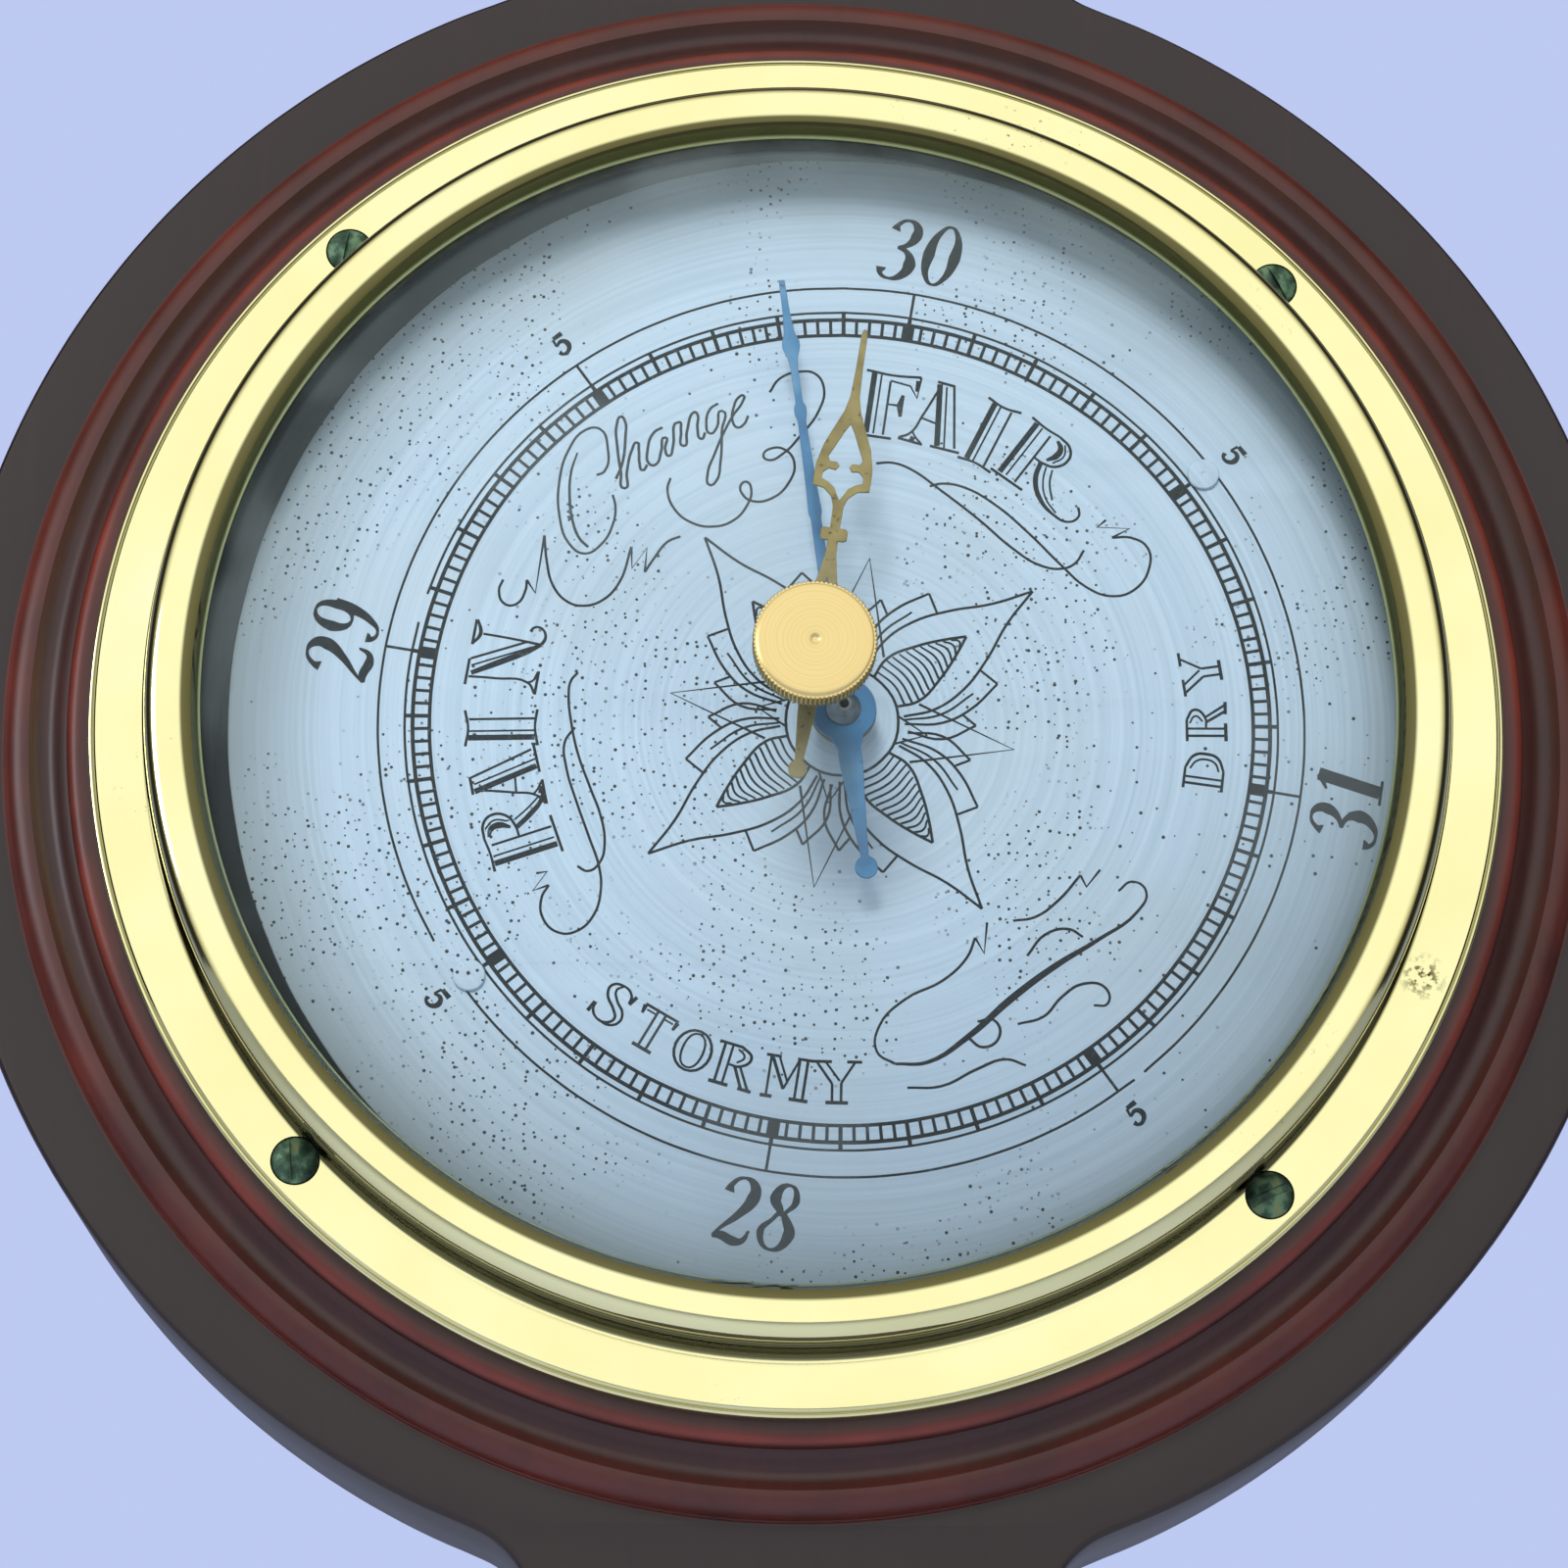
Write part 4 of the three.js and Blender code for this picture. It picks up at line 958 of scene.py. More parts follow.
# Open capitals for fair and rain: a shaded left stroke, an inline and a fine outline.
bigR = [line((-2.8, 7.1, 0.6), (-2.85, 0.5, 0.6)), line((-2.05, 7.0, 0.2), (-2.1, 0.6, 0.2)),
        line((-0.9, 6.8, 0.26), (-0.95, 0.5, 0.26)), sweep((-3.6, 7.35, 0.3), (-1.8, 7.2, 0.26), (0, 7.3, 0.26)),
        line((-3.8, 0.25, 0.3), (0.2, 0.25, 0.3)),
        sweep((0, 7.3, 0.28), (1.5, 6.9, 0.3), (2.1, 5.8, 0.3), (1.5, 4.4, 0.3), (0.2, 3.9, 0.28), (-0.9, 3.9, 0.25)),
        sweep((0.0, 6.8, 0.3), (0.75, 6.3, 0.6), (0.85, 5.4, 0.7), (0.3, 4.4, 0.3)),
        sweep((0.9, 6.9, 0.2), (1.5, 5.8, 0.2), (1.0, 4.5, 0.2))]
bigLetters = {
    "F": [line((-1.95, 6.9, 0.6), (-1.95, 0.3, 0.6)), line((-1.2, 6.8, 0.2), (-1.2, 0.3, 0.2)),
          line((-0.2, 6.2, 0.26), (-0.2, 0.3, 0.26)), sweep((-2.8, 7.1, 0.3), (0, 6.9, 0.26), (2.9, 7.1, 0.3)),
          line((2.9, 7.1, 0.26), (2.75, 4.8, 0.3), (1.9, 6.0, 0.22), (-0.2, 6.3, 0.22)),
          line((2.7, 6.7, 0.6), (2.65, 5.5, 0.4)), line((-0.2, 3.7, 0.2), (1.1, 3.7, 0.3)),
          line((1.3, 4.9, 0.35), (1.1, 3.7, 0.7), (1.3, 2.5, 0.35)), line((-2.9, 0, 0.3), (0.7, 0, 0.3))],
    "A": [line((-0.3, 7.0, 0.6), (1.2, 0.4, 0.6)), line((0.45, 6.9, 0.2), (1.95, 0.4, 0.2)),
          line((1.2, 7.1, 0.26), (3.0, 0.6, 0.26)), line((-0.6, 7.2, 0.3), (1.3, 7.2, 0.3)),
          sweep((-0.3, 6.2, 0.26), (-1.1, 3.2, 0.26), (-1.8, 1.0, 0.26), (-2.8, 0.2, 0.3)),
          sweep((-1.7, 1.3, 0.22), (-1.3, 0.8, 0.22), (-0.5, 0.2, 0.26)), line((-2.9, 0.1, 0.3), (-0.3, 0.1, 0.3)),
          line((-1.15, 2.9, 0.24), (0.7, 2.7, 0.24)), line((0.5, 0.2, 0.3), (3.6, 0.3, 0.3)),
          line((-1.7, 0.5, 0.5), (-1.2, 0.4, 0.4))],
    "I": [line((-1.2, 7.0, 0.6), (-1.2, 0.3, 0.6)), line((-0.5, 6.9, 0.2), (-0.5, 0.3, 0.2)),
          line((0.75, 6.9, 0.26), (0.75, 0.3, 0.26)), sweep((-2.1, 7.3, 0.3), (-0.2, 7.0, 0.26), (1.7, 7.3, 0.3)),
          sweep((-2.1, 0, 0.3), (-0.2, 0.25, 0.26), (1.7, 0, 0.3))],
    "N": [sweep((-1.6, 7.3, 0.26), (-1.35, 4.5, 0.26), (-1.3, 1.2, 0.26), (-2.3, 0.4, 0.3)),
          sweep((-1.3, 1.4, 0.24), (-1.0, 0.8, 0.24), (0, 0.4, 0.3)), line((-2.4, 0.35, 0.3), (0.1, 0.35, 0.3)),
          line((-2.5, 7.5, 0.3), (0.3, 7.5, 0.3)),
          sweep((-1.2, 7.1, 0.5), (0.3, 4.6, 0.65), (1.9, 2.0, 0.65), (2.9, 0.6, 0.4)),
          line((-0.4, 7.2, 0.2), (2.5, 1.5, 0.2)), line((0.3, 7.4, 0.26), (3.0, 2.0, 0.26)),
          sweep((3.1, 6.6, 0.26), (3.05, 3.5, 0.26), (2.9, 0.6, 0.3)),
          sweep((1.9, 7.5, 0.26), (2.9, 6.9, 0.4), (3.4, 6.9, 0.4), (4.5, 7.4, 0.26)),
          line((1.8, 7.5, 0.3), (4.5, 7.5, 0.3)),
          sweep((2.9, 0.6, 0.4), (3.7, 0.3, 0.3), (4.6, 0.8, 0.26), (4.6, 1.6, 0.26), (4.1, 1.9, 0.35))],
    "R": bigR + [sweep((0.1, 3.8, 0.5), (0.9, 2.2, 0.55), (2.0, 0.6, 0.45), (3.0, 0.1, 0.26)),
                 sweep((0.9, 3.8, 0.2), (1.6, 2.2, 0.2), (2.5, 0.6, 0.2)), line((1.9, 0.2, 0.3), (3.4, 0.2, 0.3))],
    "r": bigR + [sweep((0.0, 3.8, 0.5), (0.5, 2.2, 0.55), (2.0, 0.7, 0.5), (4.4, 0.0, 0.3), (6.0, 0.3, 0.26),
                       (6.5, 1.4, 0.26), (5.9, 2.2, 0.3)),
                 sweep((0.7, 3.8, 0.2), (1.3, 2.4, 0.2), (2.6, 1.0, 0.2), (4.4, 0.3, 0.2)),
                 sweep((1.4, 3.9, 0.22), (2.0, 2.6, 0.22), (3.3, 1.2, 0.22))],
}
# Smaller open capitals for stormy and dry, 4.1 mm tall.
smallLetters = {
    "S": [sweep((1.3, 3.1, 0.4), (0.9, 3.9, 0.28), (-0.2, 4.2, 0.25), (-1.3, 3.5, 0.3), (-1.0, 2.5, 0.3),
                (0.3, 1.7, 0.3), (1.0, 1.0, 0.3), (0.6, 0.2, 0.28), (-0.4, -0.05, 0.25), (-1.3, 0.5, 0.3),
                (-1.55, 1.2, 0.4)),
          sweep((-0.3, 4.1, 0.25), (-0.6, 3.4, 0.25), (0.1, 2.6, 0.28), (1.3, 1.9, 0.28), (1.6, 1.0, 0.28),
                (0.9, 0.1, 0.28), (-0.2, -0.05, 0.25)),
          line((1.45, 4.1, 0.4), (1.3, 3.0, 0.35)), line((-1.6, 1.2, 0.35), (-1.6, 0.0, 0.4))],
    "T": [line((-1.9, 4.1, 0.3), (1.9, 4.1, 0.3)), line((-1.85, 4.0, 0.5), (-1.75, 3.1, 0.3)),
          line((1.85, 4.0, 0.5), (1.75, 3.1, 0.3)), line((-1.5, 3.65, 0.2), (-0.4, 3.65, 0.2)),
          line((0.45, 3.65, 0.2), (1.5, 3.65, 0.2)), line((-0.4, 4.0, 0.28), (-0.4, 0.1, 0.28)),
          line((0.45, 4.0, 0.28), (0.45, 0.1, 0.28)), line((-1.05, 0, 0.38), (1.1, 0, 0.38))],
    "O": [loop((1.85, 2.1, 0.32), (0, 4.2, 0.28), (-1.85, 2.1, 0.32), (0, 0, 0.28)),
          loop((1.05, 2.1, 0.26), (0, 3.9, 0.22), (-1.05, 2.1, 0.26), (0, 0.3, 0.22))],
    "R": [line((-1.5, 4.1, 0.3), (-1.5, 0.1, 0.3)), line((-0.7, 4.1, 0.26), (-0.7, 0.1, 0.26)),
          line((-2.1, 4.15, 0.32), (0.3, 4.15, 0.3)), line((-2.1, 0, 0.38), (-0.1, 0, 0.38)),
          sweep((0.3, 4.15, 0.28), (1.4, 3.3, 0.32), (0.6, 2.2, 0.28), (-0.7, 2.1, 0.24)),
          sweep((-0.1, 3.85, 0.2), (0.7, 3.2, 0.24), (0.1, 2.45, 0.2)),
          line((0.0, 2.1, 0.32), (1.2, 0.1, 0.32)), line((0.6, 2.1, 0.26), (1.9, 0.1, 0.3)),
          line((0.9, 0, 0.36), (2.3, 0, 0.36))],
    "M": [line((-1.7, 4.1, 0.26), (-1.7, 0.1, 0.26)), line((-2.3, 0, 0.38), (-1.1, 0, 0.38)),
          line((-1.6, 4.1, 0.34), (-0.1, 0.9, 0.34)), line((-0.9, 4.1, 0.24), (0.25, 1.6, 0.24)),
          line((-0.1, 0.9, 0.24), (1.1, 4.0, 0.24)), line((1.15, 4.1, 0.28), (1.15, 0.1, 0.28)),
          line((1.95, 4.1, 0.3), (1.95, 0.1, 0.3)), line((0.6, 0, 0.38), (2.5, 0, 0.38)),
          line((-2.2, 4.15, 0.32), (-0.7, 4.15, 0.3)), line((0.9, 4.15, 0.3), (2.5, 4.15, 0.32))],
    "Y": [line((-2.4, 4.15, 0.32), (-0.5, 4.15, 0.32)), line((1.0, 4.15, 0.32), (2.5, 4.15, 0.32)),
          line((-2.0, 4.1, 0.28), (-0.45, 1.9, 0.28)), line((-1.1, 4.1, 0.24), (0.3, 2.2, 0.24)),
          line((1.8, 4.1, 0.26), (0.45, 2.0, 0.26)), line((-0.45, 1.9, 0.28), (-0.45, 0.1, 0.28)),
          line((0.45, 2.0, 0.28), (0.45, 0.1, 0.28)), line((-1.1, 0, 0.38), (1.15, 0, 0.38))],
    "D": [line((-1.5, 4.0, 0.3), (-1.5, 0.1, 0.3)), line((-0.8, 4.0, 0.26), (-0.8, 0.1, 0.26)),
          line((-2.1, 4.1, 0.32), (0.2, 4.1, 0.28)), line((-2.1, 0, 0.34), (0.2, 0, 0.28)),
          sweep((0.2, 4.1, 0.28), (1.6, 3.3, 0.32), (1.9, 2.0, 0.34), (1.6, 0.8, 0.32), (0.2, 0, 0.28)),
          sweep((0.1, 3.6, 0.22), (1.0, 3.0, 0.24), (1.3, 2.0, 0.26), (1.0, 1.0, 0.24), (0.1, 0.5, 0.22))],
}


def drawWords():
    for letter, degrees in (("F", 7.9), ("A", 15.8), ("I", 26.3), ("r", 36.0)):
        onArc(bigLetters[letter], degrees, 30.8)
    for letter, degrees in (("R", -109.6), ("A", -101.6), ("I", -91.6), ("N", -81.2)):
        onArc(bigLetters[letter], degrees, 30.8)
    for letter, degrees in (("S", -142.6), ("T", -149.8), ("O", -156.8), ("R", -163.6), ("M", -171.6),
                            ("Y", -179.4)):
        onArc(smallLetters[letter], degrees, 39.4, True)
    for letter, degrees in (("D", 97.4), ("R", 89.4), ("Y", 81.2)):
        onArc(smallLetters[letter], degrees, 38.9, True, size=0.95)


drawWords()

# The handwritten word between rain and fair, in the dial's own millimetres.
addStrokes([
    sweep((-25.3, 26.0), (-24.5, 26.4), (-24.2, 29.0), (-25.0, 31.0), (-26.5, 30.9), (-28.2, 28.7), (-29.1, 25.2),
          (-29.0, 21.5), (-28.0, 18.6), (-26.4, 17.5), (-24.7, 18.5), (-23.5, 20.8), (-23.3, 22.6),
          (-23.6, 23.9), width=0.27),
    sweep((-27.3, 28.4, 0.2), (-27.9, 26.3, 0.26), (-28.0, 23.5, 0.3), (-27.6, 20.8, 0.3), (-26.9, 19.1, 0.3),
          (-26.0, 18.2, 0.3)),
    line((-28.1, 22.8), (-27.6, 22.5), (-28.2, 22.0), (-27.6, 21.6), (-28.1, 21.0), width=0.26),
    sweep((-23.3, 25.6), (-22.7, 27.2), (-22.4, 30.2), (-22.5, 32.0), (-22.9, 32.4), (-23.3, 31.6), (-23.2, 29.0),
          (-22.8, 26.4), (-22.4, 24.6), (-22.2, 26.3), (-21.7, 28.8), (-21.2, 29.6), (-21.0, 28.8),
          (-20.9, 27.3), (-20.6, 26.6), (-20.1, 27.2), width=0.3),
    sweep((-18.6, 31.3), (-19.5, 30.7), (-20.1, 28.8), (-19.9, 27.3), (-19.3, 27.2), (-18.7, 28.7), (-18.3, 30.2),
          (-18.3, 28.9), (-17.9, 28.2), (-17.5, 29.2), (-16.9, 31.9), (-16.7, 31.0), (-16.4, 29.3),
          (-16.1, 30.8), (-15.4, 33.0), (-15.1, 32.9), (-15.0, 31.2), (-14.6, 30.1), (-14.2, 30.8), width=0.3),
    sweep((-12.9, 34.0), (-13.7, 33.4), (-14.1, 31.8), (-13.7, 30.7), (-13.0, 31.4), (-12.5, 33.2), (-12.5, 31.0),
          (-12.6, 27.6), (-13.1, 25.4), (-13.7, 25.1), (-13.9, 26.3), (-13.2, 28.5), (-12.3, 30.8),
          (-11.3, 32.8), (-10.4, 34.2), (-10.3, 34.9), (-10.8, 34.7), (-11.3, 33.6), (-11.4, 32.1),
          (-10.9, 31.4), (-10.2, 31.8), (-9.8, 32.7), width=0.28),
])

# Pen flourishes round the words.
addStrokes([
    sweep((-17.7, 25.8), (-18.0, 24.6), (-17.3, 22.5), (-15.5, 21.0), (-13.2, 20.6), (-11.2, 21.3), (-9.9, 22.8),
          (-9.4, 24.6), (-9.9, 25.5), (-10.5, 25.1), (-10.2, 24.0), (-9.2, 23.4), (-7.2, 23.8), (-5.6, 25.4),
          (-5.0, 27.6), (-5.9, 29.0), (-7.3, 29.2), (-8.2, 28.4), (-7.7, 27.9), (-6.2, 28.6), (-4.4, 30.6),
          (-2.5, 33.4), (-2.0, 35.8), (-2.9, 37.4), (-4.6, 37.6), (-6.6, 36.8), (-7.6, 35.3), width=0.27),
    sweep((-34.6, 14.6), (-35.0, 13.4), (-34.4, 12.0), (-33.2, 12.0), (-32.3, 13.5), (-32.2, 14.6), width=0.27),
    line((-32.2, 14.6), (-31.3, 13.2), (-30.5, 19.4), width=0.27),
    sweep((-30.5, 19.4), (-30.2, 16.6), (-29.5, 14.0), (-28.0, 12.3), (-26.4, 11.9), (-24.5, 12.5), (-22.8, 14.4),
          (-21.6, 18.3), width=0.27),
    line((-21.6, 18.3), (-21.5, 16.0), (-20.0, 18.2), (-20.2, 15.6), width=0.27),
    sweep((-20.2, 15.6), (-19.2, 17.2), (-17.9, 18.9), (-16.6, 19.5), width=0.27),
    sweep((3.4, 27.7), (5.0, 27.8), (6.8, 27.2), (10.0, 24.9), (14.0, 21.7), (17.5, 18.6), (20.2, 16.9),
          (22.6, 16.6), (23.8, 17.2), (24.7, 18.6), width=0.27),
    sweep((8.9, 25.3), (10.2, 25.6), (12.5, 25.2), (15.6, 23.4), (19.0, 20.4), (22.5, 16.8), (24.8, 14.7),
          (27.4, 13.7), (29.8, 14.4), (31.4, 16.9), (31.2, 19.0), (29.6, 20.0), (27.6, 20.0), width=0.27),
    line((27.6, 20.0), (29.4, 21.0), (26.1, 21.1), (27.0, 21.9), width=0.27),
    sweep((-26.8, 4.8), (-27.5, 3.9), (-27.7, 2.2), (-27.4, -0.4), (-26.7, -3.6), (-25.4, -7.2), (-24.2, -10.4),
          (-23.8, -13.0), (-24.2, -15.0), (-25.4, -16.0), (-26.5, -15.5), width=0.27),
    sweep((-27.0, -1.0), (-28.0, -2.6), (-27.8, -5.2), (-26.7, -8.8), (-25.4, -12.4), (-24.3, -15.6),
          (-24.1, -18.0), (-24.8, -20.6), (-26.4, -22.2), (-28.2, -22.4), (-29.8, -21.0), (-30.0, -18.8),
          (-29.3, -17.5), width=0.27),
    line((-29.3, -17.5), (-30.9, -18.1), (-29.5, -16.1), (-30.6, -16.3), width=0.27),
])

# A plain pen ornament at the lower right: one long shaded stroke with curls above and below.
addStrokes([
    sweep((5.4, -35.4, 0.3), (8.6, -35.2, 0.4), (12.6, -32.6, 0.6), (17.0, -28.6, 0.75), (21.4, -25.2, 0.65),
          (25.8, -22.4, 0.4), (29.6, -19.6, 0.3), (30.6, -17.4, 0.26), (29.2, -16.4, 0.26), (27.8, -17.4, 0.26)),
    sweep((5.4, -35.4, 0.3), (3.6, -34.2, 0.26), (3.8, -31.6, 0.26), (6.4, -28.8, 0.28), (10.2, -26.8, 0.28),
          (12.6, -24.4, 0.28), (13.4, -22.4, 0.28)),
    line((13.4, -22.4), (14.3, -24.0), (14.6, -20.8), width=0.27),
    sweep((12.6, -32.6, 0.3), (14.2, -33.6, 0.3), (15.8, -32.4, 0.3), (15.2, -30.8, 0.28), (13.6, -31.0, 0.26)),
    sweep((17.6, -31.2, 0.26), (20.2, -30.4, 0.28), (22.0, -28.4, 0.3), (24.2, -27.0, 0.3), (26.4, -27.4, 0.28),
          (26.6, -29.0, 0.26), (25.2, -29.2, 0.26)),
    sweep((17.2, -20.6, 0.26), (19.4, -20.2, 0.28), (21.8, -18.4, 0.3), (24.0, -15.8, 0.28)),
    line((24.0, -15.8), (24.6, -17.0), (26.0, -15.2), width=0.27),
    sweep((18.6, -24.2, 0.28), (20.4, -22.0, 0.3), (22.8, -21.4, 0.3), (24.2, -22.2, 0.26)),
    sweep((6.6, -37.8, 0.26), (10.0, -37.6, 0.28), (13.6, -35.8, 0.3), (16.4, -34.8, 0.28), (18.4, -35.4, 0.26)),
])


# The rosette: four hatched leaves with side leaves, and four plain spikes between them.
def drawRosette():
    leafEdge = [(1.9, 5.3), (2.75, 7.6), (2.1, 10.8), (1.0, 13.6), (0, 15.6)]

    def leafHalf(v):
        for (u0, v0), (u1, v1) in zip(leafEdge, leafEdge[1:]):
            if v0 <= v <= v1:
                return u0 + (u1 - u0) * (v - v0) / (v1 - v0)
        return 0.0
    hatches = []
    for k in range(12):
        v = 6.3 + k * 0.74
        half = leafHalf(v)
        hatches.append(sweep((-half, v - 0.35, 0.2), (0, v + 0.25, 0.24), (half, v - 0.1, 0.26)))
    for quarter in range(4):
        petal = dialShape["tilt"] + 45 + quarter * 90
        onArc(hatches, petal, 0)
        for side in (1, -1):
            half = [sweep(*[(side * u, v, 0.3) for u, v in leafEdge]),
                    sweep(*[(side * u, v, 0.28) for u, v in
                            ((3.2, 5.4), (4.4, 8.4), (4.4, 12.0), (3.2, 15.8), (1.3, 19.8), (0, 24.0))]),
                    sweep((side * 3.9, 5.0, 0.26), (side * 6.0, 8.2, 0.28), (side * 6.5, 11.4, 0.28),
                          (side * 5.9, 15.2, 0.26)),
                    line((side * 5.9, 15.2, 0.26), (side * 3.6, 14.6, 0.26)),
                    sweep((side * 3.5, 5.2, 0.22), (side * 5.2, 8.6, 0.26), (side * 5.3, 12.6, 0.22)),
                    sweep((side * 4.7, 4.8, 0.26), (side * 7.4, 7.2, 0.28), (side * 8.2, 10.8, 0.26)),
                    line((side * 8.2, 10.8, 0.26), (side * 6.6, 10.4, 0.26))]
            onArc(half, petal, 0)
        spike = dialShape["tilt"] + quarter * 90
        onArc([line((-3.1, 7.4, 0.28), (0, 17.6, 0.28), (3.1, 7.4, 0.28)),
               line((-1.5, 5.5, 0.26), (0, 8.7, 0.26), (1.5, 5.5, 0.26))], spike, 0)
    addStrokes([circleStroke(5.7, width=0.3)])


drawRosette()


# Every stroke becomes a thin bar, pressed flat and set into the dial so only its top shows.
def makeArtwork():
    piece = drawCurve("dialArtwork", artwork, smooth=5)
    piece.data.bevel_depth = 1.0
    piece.data.bevel_resolution = 0
    piece.data.use_fill_caps = True
    piece = toMesh(piece)
    thin = 0.045
    piece.data.transform(Matrix.Translation((hub.x, hub.y, dialTop)) @ Matrix.Diagonal((1, 1, thin, 1)))
    print("artwork faces", len(piece.data.polygons))
    return finishPiece(piece, materials["ink"], "case", angle=20)


makeArtwork()
print("dial and artwork made")


# ---- rivets ----

def makeRivets():
    profile = [(0, -5.9), (1.0, -5.9), (1.0, 0.02), (1.6, 0.02), (1.62, 0.3), (1.52, 0.42), (1.0, 0.5),
               (0.35, 0.52), (0.22, 0.5), (0.12, 0.4), (0, 0.37)]
    master = turn("rivetMaster", profile, steps=40, closed=False)
    for half in ("upper", "lower"):
        at = middleOf("dial_rivet_" + half)
        piece = copyOf(master, "dialRivet" + half.title())
        piece.data.transform(Matrix.Translation((at.x, at.y, dialTop)))
        finishPiece(piece, materials["silvered"], "case", ["dial_rivet_" + half], angle=40)
    bpy.data.objects.remove(master)


makeRivets()


# ---- hands ----

pointerTurn = -8.1
setTurn = 8.1


def mirrored(points):
    return points + [(-x, y) for x, y in reversed(points) if abs(x) > 1e-6]


def makePointer():
    low, high = benchBox("pointer_hand")
    right = [(0.3, 46.4), (0.36, 43.0), (0.55, 40.6), (0.9, 39.6), (0.9, 39.0), (0.5, 37.8), (0.37, 36.6),
             (0.37, 33.0), (0.62, 32.4), (0.62, 31.7), (0.42, 31.0), (0.55, 24.2), (0.7, 21.0), (0.52, 20.4),
             (0.6, 12.0), (0.75, 4.5)]
    ring = [clock(t, 3.3) for t in range(14, 151, 8)]
    tail = [(1.15, -4.2), (1.2, -5.5), (0.85, -9.5), (0.4, -15.4)]
    ball = [(1.15 * math.sin(math.radians(d)), -16.55 + 1.15 * math.cos(math.radians(d)))
            for d in range(25, 180, 18)] + [(0, -17.7)]
    outline = [(True, True, mirrored(right + ring + tail + ball))]
    hole = (True, False, [(0.55 * math.cos(math.radians(d)), 0.55 * math.sin(math.radians(d)))
                          for d in range(0, 360, 45)])
    piece = plateFrom("pointerHand", outline + [hole], low[2], high[2], 0.07, smooth=4)
    spinAbout = Matrix.Translation((hub.x, hub.y, 0)) @ Matrix.Rotation(-math.radians(pointerTurn), 4, "Z")
    piece.data.transform(spinAbout)
    finishPiece(piece, materials["blued_steel"], "pointer", ["pointer_hand"], angle=35)


makePointer()


def makePointerHub():
    low, high = benchBox("pointer_bush")
    bottom, top = low[2], high[2]
    cone = [(0.5, bottom), (1.75, bottom), (1.75, bottom + 0.25), (1.3, bottom + 0.75), (0.95, top - 0.35),
            (0.75, top), (0.5, top)]
    bush = turn("pointerBush", cone, steps=48, x=hub.x, y=hub.y)
    finishPiece(bush, materials["steel"], "pointer", ["pointer_bush"], angle=30)
    low, high = benchBox("pointer_collet")
    ring = [(0.5, low[2]), (3.2, low[2]), (3.35, low[2] + 0.15), (3.35, high[2] - 0.15), (3.2, high[2]),
            (0.5, high[2])]
    collet = turn("pointerCollet", ring, steps=64, x=hub.x, y=hub.y)
    finishPiece(collet, materials["dull_brass"], "pointer", ["pointer_collet"], angle=30)


makePointerHub()


# The set hand: a pierced spade on a stem, a cross-bar, a forked foot, and a tail with a ball.
def makeSetHand():
    low, high = benchBox("set_hand")
    centre = middleOf("set_knob")
    outer = [(0.0, 37.4), (0.2, 37.25), (0.32, 36.8), (0.36, 33.0), (0.5, 30.0), (0.85, 28.4), (1.6, 26.6),
             (2.4, 24.6), (2.85, 22.6), (2.9, 21.2), (2.85, 20.2), (1.7, 20.0), (0.85, 19.2), (0.55, 18.3),
             (0.5, 16.4), (0.5, 15.95), (1.1, 15.95), (1.35, 15.7), (1.35, 14.8), (1.1, 14.6), (0.5, 14.6),
             (0.55, 13.2), (0.95, 10.9), (1.5, 8.4), (1.9, 5.6)]
    ring = [clock(t, 2.7) for t in range(40, 161, 15)]
    tail = [(0.85, -4.0), (0.42, -8.6)]
    ball = [(0.95 * math.sin(math.radians(d)), -9.4 + 0.95 * math.cos(math.radians(d)))
            for d in range(28, 180, 19)] + [(0, -10.35)]
    outline = outer[:1] + outer[1:] + ring + tail + ball
    closedOutline = outline + [(-x, y) for x, y in reversed(outline[1:-1])]
    opening = [(0.0, 27.1), (0.5, 26.2), (1.2, 24.6), (1.75, 23.4), (1.5, 22.9), (0.75, 22.9), (0.5, 22.5),
               (0.8, 22.05), (1.5, 22.15), (2.0, 21.7), (2.1, 21.0), (1.4, 20.7), (0.7, 20.2), (0.3, 19.4),
               (0.0, 18.9)]
    opening += [(-x, y) for x, y in reversed(opening[1:-1])]
    fork = [(0.0, 10.7), (0.3, 9.9), (0.62, 7.4), (0.7, 5.2), (0.0, 4.6), (-0.7, 5.2), (-0.62, 7.4),
            (-0.3, 9.9)]
    hole = [(1.0 * math.cos(math.radians(d)), 1.0 * math.sin(math.radians(d))) for d in range(0, 360, 45)]
    piece = plateFrom("setHand", [(True, True, closedOutline), (True, True, opening), (True, True, fork),
                                  (True, False, hole)], low[2], high[2] - 0.14, 0.06, smooth=4)
    spinAbout = Matrix.Translation((centre.x, centre.y, 0)) @ Matrix.Rotation(-math.radians(setTurn), 4, "Z")
    piece.data.transform(spinAbout)
    finishPiece(piece, materials["fretted"], "set_marker", ["set_hand"], angle=35)


makeSetHand()


# ---- set knob ----

knobShape = {"teeth": 84, "radius": 6.05, "root": 5.86, "rim": 2.5, "neck": 3.0}


